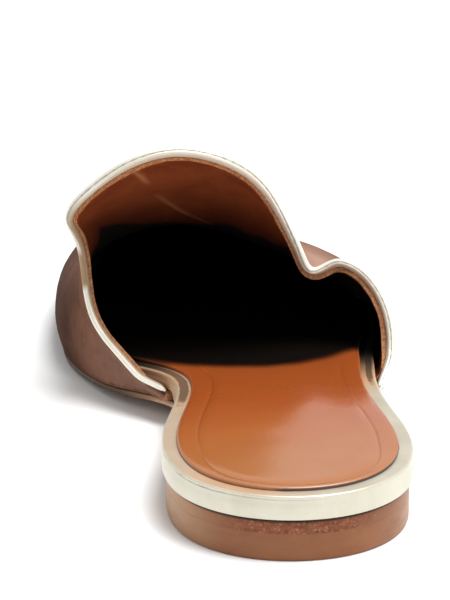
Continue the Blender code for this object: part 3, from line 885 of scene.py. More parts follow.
# %% Sole leathers
cut = Finish("outsole leather", Specular_IOR_Level=0.35)
skin = cut.use(grain, Size=1500.0, Pores=0.8)
rough = cut.times(cut.kept("depth"), cut.remap(cut.noise(220.0), 0.2, 0.5))
speck = cut.times(cut.remap(cut.noise(1100.0, 3.0, 0.75), 0.54, 0.70), 0.55)
grainy = cut.mottled(cut.noise(800.0, 3.0, 0.7), "6a371f", "8c5236")
cut.drive(Roughness=cut.remap(rough, 0.0, 1.0, 0.45, 0.75), Base_Color=cut.coats(
    tan_with_painted_reflection(cut, skin["Cloud"]),
    (rough, cut.blend(speck, grainy, "c8967a")),
    # worn lighter at the bottom in front of the heel, and painted light on the edge at the waist
    (cut.wear_and_painted_light(), "c0987a"),
    # painted shade on the edge under the vamp and along the glue line (tone)
    (cut.kept("tone"), "2a190f")))
cut.bump(cut.times(skin["Height"], cut.remap(rough, 0.0, 1.0, 0.25, 1.0)), 0.0003, 0.8)

stacked = Finish("polished heel leather", Coat_Weight=0.1, Coat_Roughness=0.3,
                 Specular_IOR_Level=0.35)
skin = stacked.use(grain, Size=1100.0, Pores=0.2)
layers = stacked.noise(1400.0, 3.0, 0.6, stretch=(0.12, 0.12, 1.0))
stacked.drive(Roughness=stacked.remap(layers, 0.3, 0.7, 0.40, 0.52), Base_Color=stacked.coats(
    tan_with_painted_reflection(stacked, skin["Cloud"]),
    (stacked.times(stacked.remap(layers, 0.45, 0.7), 0.12), "6a3f24"),
    (stacked.wear_and_painted_light(), "b98d6c")))
stacked.bump(skin["Height"], 0.00008, 0.3)

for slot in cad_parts["insole_board"].material_slots:
    slot.material = pressed.material
print("finishes:", len([m for m in bpy.data.materials if m.use_nodes]))

# %% [markdown]
# ## The vamp
#
# The vamp is a suede shell over a tan lining. Both skins come from the same sections, and soft
# folds are laid on them: the suede breaks in shallow troughs across the joint of the toes, and the
# lining has thin puckers under the roof. A cloth simulation would put folds anywhere, and sculpted
# ones can't be changed later. Here every fold is a line on the last with its own height and width.

# %% Folds
# Folds of the suede: line of points (across, along), height, half width
BREAKS = [
    ([(-40.0, 156.0), (-26.0, 151.5), (-10.0, 150.0), (6.0, 152.0)], -0.45, 2.6),
    ([(-43.0, 167.0), (-28.0, 162.0), (-10.0, 160.5), (10.0, 163.0), (22.0, 167.0)], -0.5, 3.0),
    ([(-36.0, 174.0), (-20.0, 170.5), (-4.0, 170.0)], 0.3, 3.0),
]
# Puckers of the lining under the roof
PUCKERS = [
    ([(-31.0, 112.0), (-29.3, 115.2), (-27.5, 119.0), (-26.4, 121.1)], 0.4, 0.55),
    ([(-23.9, 127.1), (-20.5, 132.2), (-17.7, 136.5), (-14.3, 141.4), (-10.3, 146.1), (-6.0, 149.0),
      (-2.6, 148.2)], 0.45, 0.6),
    ([(-12.0, 118.0), (-7.0, 126.0), (-3.5, 133.0)], 0.22, 1.4),
]
# Heights over which folds set in: only the roof of the vamp takes them
ROOF = (20.0, 30.0)
# Places where the suede stands fuller: middle on the last, height, reach
SWELLS = [((21.0, 158.0, 26.0), 1.2, 16.0), ((26.0, 184.0, 17.0), 1.6, 17.0)]
# Slow unevenness of the suede: height, size, seed
DENTS = [(0.35, 17.0, 3.0), (0.12, 7.0, 8.0)]


def fold_field(points, folds):
    """Height of the listed folds at points, seen from above."""
    total = np.zeros(points.shape[:-1])
    for line, height, width in folds:
        path = curve_through(line, 60)
        walked = travel(path) / travel(path)[-1]
        apart = np.linalg.norm(points[..., None, :2] - path, axis=-1)
        taper = np.sin(math.pi * np.clip(walked[apart.argmin(-1)], 0.04, 0.96)) ** 0.6
        total += height * taper * bump_of(apart.min(-1), 0, width)
    return total * ease(points[..., 2], *ROOF)


def soft_dents(points):
    total = sum(high * bump_of(np.linalg.norm(points - middle, axis=-1), 0, reach)
                for middle, high, reach in SWELLS)
    for height, size, seed in DENTS:
        total = total + height * ripple(points, size, seed)
    return total


print(len(BREAKS), "suede folds,", len(PUCKERS), "lining puckers,", len(SWELLS), "fuller places")

# %% [markdown]
# The bead stands on the vamp's edge, a little inside its middle, and follows the collar line. A
# curve drawn by hand could miss the edge, so the path is taken from the vamp's own surface. The
# lining is trimmed beside the bead, and its raw edge shows as a thin tan line that wavers a little.

# %% Path of the bead
# Share of its full height that the binding has: it is pressed flat on the medial side
SLIM = [(0.0, 0.66), (0.20, 0.66), (0.30, 0.85), (0.40, 1.0), (1.0, 1.0)]
# Ends of the binding: share over which they tuck in, how far, and the lift of the medial one
END_SHARE, END_TUCK, END_LIFT = 0.055, 0.9, 1.5


def bead_path(share):
    depth = setback(share, by_share(SLIM, share) * PIPING / 2)
    path, below = collar_rows(share, [depth, 1.1 * depth])
    skin = unit(np.cross(np.gradient(path, axis=0), below - path))
    from_end = np.minimum(share, 1 - share)
    tucked = fall(from_end, 0.0, END_SHARE)
    middle = PIPING_TUCK + (WALL / 2 - PIPING_TUCK) * ease(from_end, 0.04, 0.10)
    inset = middle + END_TUCK * tucked
    lift = END_LIFT * tucked * (share < 0.5)
    return path - skin * inset[:, None] + lift[:, None] * [0, 0, 1], skin


print("bead", round(float(travel(bead_path(np.linspace(0.01, 0.99, 300))[0])[-1])), "mm long")

# %% [markdown]
# A Solidify modifier would give the vamp its wall, but the lining has to end on the lasting margin
# and stand a little proud at the rim. So the inner skin is made row by row, square to the outer
# one.

# %% Skins of the vamp
VAMP_COLUMNS, COLLAR_ROWS, VAMP_ROWS = 290, 54, 62
# Share of the bead's height that hides the rim; how far the lining's cut edge stands proud
RIM_DOWN, EDGE_PROUD = 0.62, 0.8
# Lowest that the lining hangs over the margin, and the fewest points of a row that is kept
LINING_LOW, LINING_FEWEST = 0.8, 20


def lining(rows, share, proud, pole):
    """Inner skin, square to the outer one and standing on the lasting margin at both edges.

    The last low rows at the toe, where the two skins meet, close in on a pole.
    """
    inner = []
    for row in rows - (WALL + proud)[..., None] * surface_normals(rows):
        row = row[row[:, 2] > seat(row[:, 1]) + WALL + LINING_LOW]
        if len(row) < LINING_FEWEST:
            break
        first, last = ((feather(side, y, WALL), y, seat(y) + WALL)
                       for side, y in ((1, row[0, 1]), (0, row[-1, 1])))
        inner.append(along_line(np.vstack([first, row, last]), share))
    left = len(rows) - len(inner)
    closing = [inner[-1] + (pole - inner[-1]) * (k + 1) / (left + 1) for k in range(left)]
    return np.array(inner + closing)


share = columns(VAMP_COLUMNS)
hidden = RIM_DOWN * PIPING * by_share(SLIM, share) * (0.4 + 0.6 * ease(share, 0, 0.05))
rim = setback(share, hidden)
depth = [rim + (1 - rim) * t ** 1.15 for t in np.linspace(0, 1, COLLAR_ROWS + 1)]
sweep = np.sin(np.linspace(0, math.pi / 2, VAMP_ROWS + 1))[1:-1]
whole = [section(COLLAR + (TOE - COLLAR) * s, share) for s in sweep]
outer = np.vstack([collar_rows(share, depth), whole])

from_rim = np.linalg.norm(outer - outer[0], axis=2)
from_side = np.minimum(share, 1 - share)
trim = 1 + 0.25 * ripple(outer[0], 5.0, 12.0) + 0.1 * bump_of(share, DIP, 0.03)
trim = trim + 0.6 * bump_of(share, 0.89, 0.07)
proud = EDGE_PROUD * trim * fall(from_rim, 0.4, 7.0) * ease(from_side, 0.02, 0.08)
tip = FEATHER_LOOP[FEATHER_LOOP[:, 1].argmax()]
poles = [np.array([tip[0], tip[1] - inset, float(seat(tip[1])) + inset]) for inset in (0.0, WALL)]
inner = lining(outer, share, proud, poles[1])
print("vamp skins:", outer.shape, inner.shape)

# %% [markdown]
# The folds are added only now, square to each skin, because the lining is measured from the smooth
# suede. They fade out at the feather edge and at the bead, where the suede is held.

# %% Folds into the skins
over_seat = outer[..., 2] - seat(outer[..., 1])
held = ease(over_seat, 2, 12) * ease(from_rim, 1.5, 9.0)
folded = (fold_field(outer, BREAKS) + soft_dents(outer)) * held
outer = outer + surface_normals(outer) * folded[..., None]
free = ease(inner[..., 2] - seat(inner[..., 1]), 3, 12) * ease(from_rim, 0.6, 3.0)
lift = fold_field(inner, PUCKERS) - 0.25 * ripple(inner, 14.0, 5.0)
inner = inner - surface_normals(inner) * (lift * free)[..., None]
print("folds reach", round(float(np.abs(fold_field(outer, BREAKS)).max()), 2), "mm")

# %% [markdown]
# The finishes need to know where things are on each skin. Shade is painted on the lining some way
# inside the rim, its trimmed edge shows beside the bead, and a highlight is painted on its puckers.
# The suede is worn at the feather edge; painted light lies on its lateral top, its medial waist is
# lighter low down, and painted shadow lies low on its medial side. Weight painting would do for one
# shoe; a value worked out for each point follows the shape when it is changed.

# %% Where the finishes show on the vamp
# How far the lining stays lit inside the rim: share across the vamp, length in mm
LIT = [
    (0.0, 14.0), (0.05, 9.0), (0.09, 3.0), (0.14, 2.2), (0.19, 4.5), (0.225, 14.0),
    (0.255, 17.0), (0.29, 15.0), (0.32, 27.0), (0.36, 41.0), (0.42, 56.0), (0.48, 62.0),
    (0.52, 48.0), (0.55, 42.0), (0.59, 41.0), (0.625, 32.0), (0.65, 31.0), (0.69, 17.0),
    (0.73, 6.0), (0.77, 3.5), (0.84, 3.2), (0.90, 6.0), (0.94, 13.0), (1.0, 20.0),
]
# Width of the lining's trimmed edge that shows beside the bead
CUT_EDGE = [
    (0.0, 0.8), (0.12, 1.2), (0.30, 1.3), (0.45, 1.3), (0.62, 1.6), (0.70, 2.7), (0.74, 2.2),
    (0.765, 1.6), (0.80, 1.7), (0.86, 2.2), (0.93, 2.6), (1.0, 2.2),
]

inner_run = np.linalg.norm(inner - inner[0], axis=2)
gloom = np.clip(inner_run / by_share(LIT, share), 0, 1.4)
cut_width = by_share(CUT_EDGE, share) * (1 + 0.3 * ripple(inner[0], 3.0, 15.0))
trimmed = fall(inner_run, cut_width - 0.2, cut_width + 0.25)
trimmed = trimmed * (1 - 0.5 * bump_of(share, 0.775, 0.03)) * ease(share, 0.0, 0.05)
# painted highlight where the lining's puckers catch the light
pucker_highlight = np.clip(2.2 * fold_field(inner, PUCKERS[:2]), 0, 1)

station, height = outer[..., 1], outer[..., 2]
low_edge = 0.55 * fall(height - seat(station), 0.3, 2.6)
medial = fall(share, 0.26, 0.40)
lateral = ease(share, 0.62, 0.74) * fall(share, 0.78, 0.92)
# painted light: the lit lateral top of the suede is coated lighter; the medial waist is lighter low
# down
painted_light_and_pale_waist = 0.55 * lateral * fall(station, 135, 215)
low_waist = 0.2 * medial * fall(height, 9, 26) * fall(station, 112, 142)
painted_light_and_pale_waist = painted_light_and_pale_waist + low_waist
# painted shadow low on the medial side, as if cast by a neighbouring shoe
painted_shadow_medial = 0.75 * medial * ease(station, 122, 146) * fall(station, 185, 225)
painted_shadow_medial = painted_shadow_medial * fall(height, 16, 34)
lengths = [length for _, length in LIT]
print("lining lit for", min(lengths), "to", max(lengths), "mm inside the rim")

# %% [markdown]
# The two skins, the trimmed rim and the lasting margin close the shell. The margin turns in
# between the board and the outsole. It is bridged here, so that the vamp is one closed piece.

# %% Vamp shell
def margin_line(edge, height):
    normal = outward(FEATHER_LOOP)
    moved = []
    for x, y, _ in edge:
        near = np.argmin(np.hypot(FEATHER_LOOP[:, 0] - x, FEATHER_LOOP[:, 1] - y))
        at = np.array([x, y]) - MARGIN * normal[near]
        moved.append((*at, seat(at[1]) + height))
    return moved


SUEDE, LINING, RAW_EDGE = range(3)
# depth of the painted shade that darkens the lasting margin under the board
UNDER_BOARD = 1.2

vamp = Shell()
edges, rims = [], []
skins = ((outer, poles[0], SUEDE, low_edge, painted_shadow_medial, painted_light_and_pale_waist),
         (inner, poles[1], LINING, trimmed, gloom, pucker_highlight))
for grid, end, finish, *values in skins:
    rows = [vamp.row(line, *at_row) for line, *at_row in zip(grid, *values)]
    pole = vamp.row([end], 0.0, values[1][-1].max())[0]
    vamp.bridge(rows, finish=finish)
    vamp.fan(rows[-1], pole, finish=finish)
    edges.append([row[0] for row in rows] + [pole] + [row[-1] for row in reversed(rows)])
    rims.append(rows[0])
feather_edge = [vamp.points[k] for k in edges[0]]
under, over = (vamp.row(margin_line(feather_edge, up), 0.0, UNDER_BOARD) for up in (0.0, WALL))
loops = (edges[0], under, over, edges[1])
vamp.bridge(loops, finish=LINING)
for end in (0, -1):
    vamp.face([loop[end] for loop in loops], RAW_EDGE)
for part, finish in ((slice(0, 8), SUEDE), (slice(7, -5), RAW_EDGE), (slice(-6, None), SUEDE)):
    vamp.bridge([rim[part] for rim in rims], finish=finish)
vamp_piece = vamp.piece("vamp", [suede, tan, raw])
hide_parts("upper")

# %% [markdown]
# ## The binding
#
# A strip of gold leather is folded round the collar and sewn. Its section is nearly round, with a
# groove where the stitches pull it in. A bevelled curve would give a round cord with no groove and
# no seam, so the section is carried along the path ring by ring. It is pressed flatter on the
# medial side, and thins at both ends, where the binding is tucked under.

# %% Sizes of the bead
BEAD_STEPS, BEAD_ROUND = 460, 30
GROOVE_DEEP, GROOVE_WIDE, STITCH_PITCH = 0.2, 0.2, 2.6
# Half thickness of the binding across the wall, by share along the collar
THICKNESS = [
    (0.0, 0.95), (0.06, 1.1), (0.24, 1.12), (0.34, 1.28), (0.55, 1.3), (0.70, 1.12), (0.76, 1.0),
    (0.84, 1.1), (0.94, 1.15), (1.0, 0.95),
]
# Angle of the groove round the section, in degrees: 0 points away from the foot, 90 up
GROOVE = [(0.0, 128), (0.20, 122), (0.32, 98), (0.5, 90), (1.0, 93)]

share = np.linspace(0.005, 0.999, BEAD_STEPS)
path, skin = bead_path(share)
way = unit(np.gradient(path, axis=0))
groove_at = np.radians(by_share(GROOVE, share))
skin = unit(skin - way * (skin * way).sum(1)[:, None])
free_edge = np.cross(skin, way)
free_edge *= np.sign((free_edge * (path - collar_rows(share, [0.3])[0])).sum(1).mean())
walked = travel(path)
from_end = np.minimum(walked, walked[-1] - walked)
slim = by_share(SLIM, share)
narrow = (0.65 - 0.45 * ease(share, 0.9, 0.98)) * fall(from_end, -0.6, 2.0)
radius = slim * PIPING / 2 * (1 - narrow)
thick = by_share(THICKNESS, share) / (PIPING / 2) / slim ** 0.6
pull = 0.5 + 0.5 * np.cos(2 * math.pi * walked / STITCH_PITCH)
print("bead", round(float(2 * radius.min()), 2), "to", round(float(2 * radius.max()), 2), "mm high")

# %% [markdown]
# The half of the bead that faces the foot is painted tan as shade and as the reflection of the
# orange sock, most of all where it is pressed flat; at one place of the medial side a band is
# painted olive all round, as shade where the bead turns edge-on. A second material would end in a
# hard line, so this painted shade is a value kept at each point.

# %% Bead
# painted shade on the bead: its inner half, most where it is pressed flat, and an olive band all
# round on the medial side
flat_side = fall(share, 0.26, 0.36)
painted_shade_inside = 0.38 + 0.6 * flat_side + 0.25 * ease(share, 0.6, 0.7) - 0.55 * ease(share, 0.84, 0.9)
painted_shade_band = ease(share, 0.18, 0.194) * (1 - 0.65 * ease(share, 0.228, 0.245))
painted_shade_band = painted_shade_band * fall(share, 0.28, 0.33)

bead = Shell()
rings = []
turns = np.linspace(0, 2 * math.pi, BEAD_ROUND, endpoint=False)
for i in range(len(path)):
    off = np.angle(np.exp(1j * (turns - groove_at[i])))
    dent = GROOVE_DEEP * (0.7 + 0.3 * pull[i]) * bump_of(off, 0, GROOVE_WIDE)
    uneven = 1 + 0.015 * noise.noise(Vector(path[i]) / 3.0)
    reach = radius[i] * (1 - dent / (PIPING / 2)) * uneven
    across = (thick[i] * np.cos(turns) + (1 - thick[i])) * reach
    up = reach * np.sin(turns)
    # the bead's tone is this painted shade
    gold = np.maximum(painted_shade_inside[i] * ease(off + flat_side[i], 0.15, 0.9), painted_shade_band[i])
    # wear along the groove lays painted shade in it
    rings.append(bead.row(path[i] + across[:, None] * skin[i] + up[:, None] * free_edge[i],
                          0.1 + 0.8 * bump_of(off, 0, 0.25), 0.0, gold))
bead.bridge(rings, closed=True)
for end, past in ((0, -0.3), (-1, 0.3)):
    bead.fan(rings[end], bead.row([path[end] + way[end] * past], 0.4)[0], closed=True)
bead_piece = bead.piece("bead", [bead_gold], sharp=70)
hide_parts("collar_piping")

# %% [markdown]
# ### Stitches
#
# The stitches repeat along the groove. An Array modifier that follows a curve would bend each one;
# Geometry Nodes set them whole. A line of the groove's points becomes a curve, points are spread
# along it at the stitch pitch, and one short capsule is set on each, turned along the line.

# %% Line of the stitches
STITCH_LONG, THREAD, FREE_OF_STITCHES = 1.6, 0.34, 7.0
sunk = (radius - 0.9 * GROOVE_DEEP)[:, None]
groove_out = (thick * np.cos(groove_at) + 1 - thick)[:, None]
groove = path + sunk * (groove_out * skin + np.sin(groove_at)[:, None] * free_edge)
line_points = place(groove[from_end > FREE_OF_STITCHES])
guide = bpy.data.meshes.new("stitch line")
guide.from_pydata(line_points.tolist(), [(i, i + 1) for i in range(len(line_points) - 1)], [])
stitches = in_scene("bead_stitches", guide)
print("stitch line of", len(line_points), "points")

# %% Stitches by Geometry Nodes
sewing = bpy.data.node_groups.new("run of stitches", "GeometryNodeTree")
sewing.interface.new_socket("Geometry", in_out="INPUT", socket_type="NodeSocketGeometry")
sockets = {}
for title, value in (("Pitch", STITCH_PITCH), ("Stitch length", STITCH_LONG), ("Thread", THREAD)):
    socket = sewing.interface.new_socket(title, in_out="INPUT", socket_type="NodeSocketFloat")
    sockets[socket.identifier] = 0.001 * value
sewing.interface.new_socket("Geometry", in_out="OUTPUT", socket_type="NodeSocketGeometry")

sew = Tree(sewing, prefix="")
given = sew.add("NodeGroupInput").outputs
line = sew.add("GeometryNodeMeshToCurve", {"Mesh": given["Geometry"]}).outputs["Curve"]
spread = sew.add("GeometryNodeCurveToPoints", {"Curve": line, "Length": given["Pitch"]},
                 mode="LENGTH").outputs
capsule = sew.add("GeometryNodeMeshUVSphere", {"Segments": 8, "Rings": 6, "Radius": 0.5})
size = sew.add("ShaderNodeCombineXYZ", {"X": given["Stitch length"], "Y": given["Thread"],
                                        "Z": given["Thread"]}).outputs["Vector"]
wobble = sew.add("FunctionNodeRandomValue", {2: 0.85, 3: 1.1, "Seed": 4}, data_type="FLOAT")
grow = sew.add("ShaderNodeVectorMath", {0: size, "Scale": wobble.outputs[1]}, operation="SCALE")
turn = sew.add("FunctionNodeAlignRotationToVector", {"Vector": spread["Tangent"]}, axis="X")
stand = sew.add("GeometryNodeInstanceOnPoints", {
    "Points": spread["Points"], "Instance": capsule.outputs["Mesh"],
    "Rotation": turn.outputs["Rotation"], "Scale": grow.outputs["Vector"]})
real = sew.add("GeometryNodeRealizeInstances", {"Geometry": stand.outputs["Instances"]})
done = sew.add("GeometryNodeSetMaterial", {"Geometry": real.outputs["Geometry"],
                                           "Material": thread.material})
sew.add("NodeGroupOutput", {"Geometry": done.outputs["Geometry"]})
print("run of stitches:", len(sewing.nodes), "nodes")

# %% Stitches as a plain mesh
sewn = stitches.modifiers.new("sewing", "NODES")
sewn.node_group = sewing
for identifier, value in sockets.items():
    sewn[identifier] = value
evaluated = stitches.evaluated_get(bpy.context.evaluated_depsgraph_get())
solid = bpy.data.meshes.new_from_object(evaluated)
stitches.modifiers.clear()
stitches.data = solid
solid.shade_smooth()
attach(stitches, "root")
print("stitches:", len(solid.polygons) // 48, "faces:", len(solid.polygons))

# %% [markdown]
# ## The gold strip round the insole
#
# The board's edge is wrapped in gold leather: a side that bulges slightly and a flap on top, which
# the sock half covers. Where the strip turns over the edge it has been pressed down with a folder,
# which leaves a thin wavering crease. A bevel would round the edge evenly, so the section is
# drawn row by row, and the crease is pressed into the rows it crosses.

# %% Section of the strip
BULGE, STRIP_ROUND = 0.25, 0.6
CREASE_DOWN, CREASE_DEEP, CREASE_WIDE = 0.75, 0.16, 0.26
# Wavering of the crease: height, size, seed
CREASE_WAVER = [(0.2, 11.0, 2.0), (0.1, 3.5, 7.0)]


def crease(x, y, down):
    """How marked the wavering crease is at a distance below the strip's top."""
    points = np.c_[x, y, np.zeros(len(x))]
    line = CREASE_DOWN
    for height, size, seed in CREASE_WAVER:
        line = line + height * ripple(points, size, seed)
    return bump_of(down, line, CREASE_WIDE)


def strip_bottom(x, y):
    """The strip reaches down to the outsole as far as the lasting margin on either side."""
    start = np.where(x > 0, LATERAL_START, MEDIAL_START)
    return seat(y) + (WALL + GAP) * ease(y - start, -1.4, -0.2)


# Rows of the section: growth beyond the footbed, depth below the bed, share of the way up the side
profile = [(BULGE * math.sin(math.pi * t), 1.5, t) for t in np.linspace(0, 1, 7)[:-1]]
profile += [(0.0, down, 1.0) for down in np.arange(1.5, STRIP_ROUND, -0.1)]
profile += [(STRIP_ROUND * (math.cos(t) - 1), STRIP_ROUND * (1 - math.sin(t)), 1.0)
            for t in np.linspace(0, math.pi / 2, 6)]
flap = np.r_[np.arange(STRIP_ROUND + 0.3, 3.6, 0.3), np.linspace(3.7, WRAP_FLAP, 3)]
profile += [(-inset, 0.0, 1.0) for inset in flap]
profile += [(-WRAP_FLAP, WRAP, 1.0), (-WRAP, WRAP, 1.0), (-WRAP, WRAP, 0.0)]
print("strip section of", len(profile), "rows")

# %% [markdown]
# The strip's finish changes along the shoe: the heel is pale, painted shade darkens the crease, a
# darker band runs along the middle of the flap at the waist, tan shows at the waist, and shade is
# painted on all of it inside the vamp. Each is a soft step along the shoe, across the flap, or
# both.

# %% Gold strip
strip = Shell()
rows = []
shares = STEP_SHARES[STEP_SHARES < WRAP_END / LENGTH]
for growth, down, up in profile:
    lateral, medial = side_points(grown(FOOTBED_LOOP, growth), shares)
    line = np.vstack([lateral[:0:-1], medial])
    x, y = line.T
    z = up * (bed(y) - down) + (1 - up) * strip_bottom(x, y)
    outer_face = growth > -WRAP
    m = fall(x, -16, 20)  # 1 on the medial side
    creased = crease(x, y, bed(y) - z) * outer_face * (0.15 + 0.85 * m) * fall(y, 66, 84)
    pinched = line - unit(line - [0, 60]) * (CREASE_DEEP * creased)[:, None]
    top = ease(-growth, 0.1, 0.7)
    middle = ease(-growth, 0.2, 1.2) * fall(-growth, 1.9 + 0.6 * m, 2.7 + 0.6 * m)
    # a darker band along the middle of the flap at the waist
    dark_middle_band = ease(y, 76 - 20 * m, 98 - 6 * m) * middle
    # painted shade darkens the crease at the back and on the medial side
    crease_shade = creased * fall(x, -22, 8)
    wear = 0.1 + 0.12 * m * top + 0.85 * dark_middle_band + 0.42 * crease_shade
    # painted shade on the strip, deeper inside the vamp (depth)
    inward = np.clip((y - 92 - 12 * m) / (44 - 20 * m), 0, 1.3)
    depth = 0.62 + 0.055 * top + 0.38 * inward * (1 - 0.8 * m * (1 - top))
    golden = 0.1 + (0.3 + 0.25 * ease(y, 55, 80)) * m + 0.7 * (1 - m) * ease(y, 70, 92)
    golden = top * (golden + 0.3 * bump_of(x, -16, 12) * (y < 20))
    golden = np.maximum(golden, 0.7 * outer_face * ease(y, 74, 98))
    rows.append(strip.row(np.c_[pinched, z], wear, depth, golden))
strip.bridge(rows + rows[:1])
for end in (0, -1):
    strip.face([row[end] for row in rows])
strip_piece = strip.piece("gold_strip", [strip_gold], sharp=60)
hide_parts("insole_wrap")

# %% [markdown]
# ## The sock
#
# The sock is a thin glazed leather glued over the board and half over the strip's flap. A line was
# pressed into it a little inside its edge, and the foot has pressed the middle down. Bump alone
# would leave the line flat at a low angle, so it is real relief: close rings follow the outline in
# to the pressed line, and straight rungs fill the rest.

# %% Relief of the sock
# Pressed line: distance from the footbed's outline at the back and at the sides, depth, half width
LINE_BACK, LINE_SIDE, LINE_DEEP, LINE_WIDE = 6.0, 8.6, 0.22, 0.34
# Small torn flakes at the edge, painted dark as the shadow of a notch: across, along, reach
NICKS = [(-3.8, 2.9, 0.55), (27.0, 31.3, 0.45)]
# Marks of the foot: depth, middle across and along, half widths
MARKS = [(0.35, 0, 32, 15, 24), (0.4, -4, 150, 20, 26)]
# Station where the sock is lost in the shade, by distance across
DARK_FROM = [
    (-34.0, 122.0), (-24.0, 113.0), (-17.0, 109.0), (-8.0, 105.5), (2.0, 104.5), (10.0, 107.0),
    (18.0, 113.0), (25.0, 121.0), (36.0, 128.0),
]


def line_inset(y):
    return LINE_BACK + (LINE_SIDE - LINE_BACK) * ease(y, 6, 34)


def nick(x, y):
    return sum(reach * np.exp(-((x - at_x) ** 2 + (y - at_y) ** 2) / 0.9)
               for at_x, at_y, reach in NICKS)


def shown(y):
    """The pressed line and the pad inside it fade out under the vamp."""
    return fall(y, 96, 112)


def sock_relief(from_line, y):
    pad = LINE_DEEP * ease(from_line, 0.1, 2.2) * shown(y)
    return pad - LINE_DEEP * bump_of(from_line, 0, LINE_WIDE) * shown(y)


def foot_hollow(x, y):
    pressed = sum(deep * np.exp(-((x - at_x) / wide) ** 2 - ((y - at_y) / long) ** 2)
                  for deep, at_x, at_y, wide, long in MARKS)
    return pressed + 0.05 * ripple(np.stack([x, y, 0 * x], -1), 9.0, 4.0)


def sock_depth(x, y):
    return 0.81 + (y - by_share(DARK_FROM, x)) / 26


print("the heel has pressed the sock", round(float(foot_hollow(0.0, 32.0)), 2), "mm down")

# %% Sock
# Rings of the edge (step inwards, share of the thickness) and rings beside the pressed line
EDGE_RINGS = [(0.1, -0.28), (0.0, -0.2), (0.0, 0.3), (0.12, 0.55), (0.4, 0.72), (0.9, 0.86),
              (1.5, 0.96)]
LINE_RINGS = [-1.2, -0.8, -0.5, -0.3, -0.1, 0.1, 0.3, 0.5, 0.8, 1.2, 1.7, 2.3]
HEEL_CENTRE = (0, 60.0)

sock = Shell()
rows = []
y_all = FOOTBED_LOOP[:, 1]
room = 1 - 0.55 * ease(y_all, 150, 215)
levels = [(True, *at_rim) for at_rim in EDGE_RINGS] + [(False, step, 1.0) for step in LINE_RINGS]
for at_edge, step, rise in levels:
    to_line = 0 if at_edge else (line_inset(y_all) + step - SOCK_INSET) * room
    inset = SOCK_INSET + step if at_edge else SOCK_INSET + to_line
    flat = ring(grown(FOOTBED_LOOP, -(inset * np.ones(len(FOOTBED_LOOP)))))
    x, y = flat.T
    from_line = (step + SOCK_INSET if at_edge else step + line_inset(y)) - line_inset(y)
    bite = nick(x, y) * at_edge
    flat = flat - unit(HEEL_CENTRE - flat) * bite[:, None]
    z = bed(y) + GAP + SOCK * rise
    if rise > 0.9:
        z = z + sock_relief(from_line, y)
    if not at_edge:
        z = z - foot_hollow(x, y) * ease(from_line + 4, 0, 6)
    # painted shadow on the edge's lower rows at the back right and in the pressed line; the rim
    # rows are dulled
    edge_shade_and_dull_rim = 0.12 * bump_of(from_line, 0, 0.5) * (y < 105)
    if rise < 0.5:
        edge_shade_and_dull_rim = edge_shade_and_dull_rim + 0.1 + 0.8 * ease(x, -14, 4) * fall(y, 24, 40)
    elif rise < 0.8:
        edge_shade_and_dull_rim = edge_shade_and_dull_rim + 0.25
    rows.append(sock.row(np.c_[flat, z], edge_shade_and_dull_rim + 1.6 * bite, sock_depth(x, y)))
sock.bridge(rows, closed=True)
sock.ladder(rows[0], lambda x, y: bed(y) + GAP, steps=3)
sock.ladder(rows[-1], lambda x, y: bed(y) + GAP + SOCK + LINE_DEEP * shown(y) - foot_hollow(x, y),
            steps=30, depth=sock_depth)
sock_piece = sock.piece("sock", [glazed], sharp=60)
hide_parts("sock_lining")

# %% [markdown]
# ## The sole
#
# The outsole is one piece of leather, with a cut edge that is a little rounded below. An extruded
# outline would have one height all over, but the sole follows the last and is skived thin in
# front, so its edge is a stack of rings, and rungs close it above and below.

# %% Outsole
# Rings of the edge: inset, share of the way up
EDGE_PROFILE = [(1.3, 0.0), (0.75, 0.01), (0.35, 0.05), (0.1, 0.13), (0.0, 0.25), (-0.03, 0.47),
                (0.0, 0.74), (0.02, 0.8), (0.06, 0.87), (0.3, 1.0)]

edge = OUTSOLE_INSET + GAP + WALL - OUTSOLE_TUCK
edge = edge * ease(FOOTBED_LOOP[:, 1], *EDGE_TURN) - OUTSOLE_INSET
on_heel = fall(FOOTBED_LOOP[:, 1], HEEL_LENGTH - 6, HEEL_LENGTH + 6)
sole = Shell()
rows = []
for inset, up in EDGE_PROFILE:
    flat = ring(grown(FOOTBED_LOOP, edge - inset * (1 - 0.96 * on_heel if up < 0.2 else 1)))
    x, y = flat.T
    low, top = underside(y), outsole_top(y)
    # painted shade: the edge is darkened under the vamp, where it lies in the vamp's shade
    painted_shade_under_vamp = 0.85 * ease(y, 104, 117)
    # dark glue line at the top of the edge, deepened by painted shadow under the strip
    glue_line_and_shadow = 0.9 * ease(up, 0.74, 0.84) * fall(y, 108, 118)
    # painted light: the edge at the waist is coated lighter pink low down, where light falls on it
    waist = 0.8 * fall(up, 0.4, 0.75) * ease(y, 78, 92) * fall(y, 104, 112)
    wear = np.maximum(0.45 * (up < 0.2) * ease(y, HEEL_LENGTH, HEEL_LENGTH + 8), waist)
    grainy = fall(np.abs(x), 8, 22) * (y < 20)
    rows.append(sole.row(np.c_[flat, low + up * (top - low)], 0.05 + wear, grainy,
                         np.maximum(painted_shade_under_vamp, glue_line_and_shadow)))
sole.bridge(rows, closed=True)
sole.ladder(rows[0], lambda x, y: underside(y), steps=24, wear=0.3)
sole.ladder(rows[-1], lambda x, y: outsole_top(y), steps=6)
sole_piece = sole.piece("sole", [cut])
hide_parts("outsole")

# %% [markdown]
# The heel block has the outline of the footbed's back and a hollow breast, the face towards the
# toe. It is a plain stack of rings too; its lower edge is rounded by walking on it.

# %% Heel
# Rings of the block: inset, height
HEEL_PROFILE = [(0.9, 0.0), (0.5, 0.04), (0.2, 0.2), (0.03, 0.5), (0.0, 1.0), (0.0, 3.5),
                (0.0, 6.3), (0.02, HEEL_HEIGHT + GAP)]
SIDE_STEPS, BREAST_STEPS = 70, 40

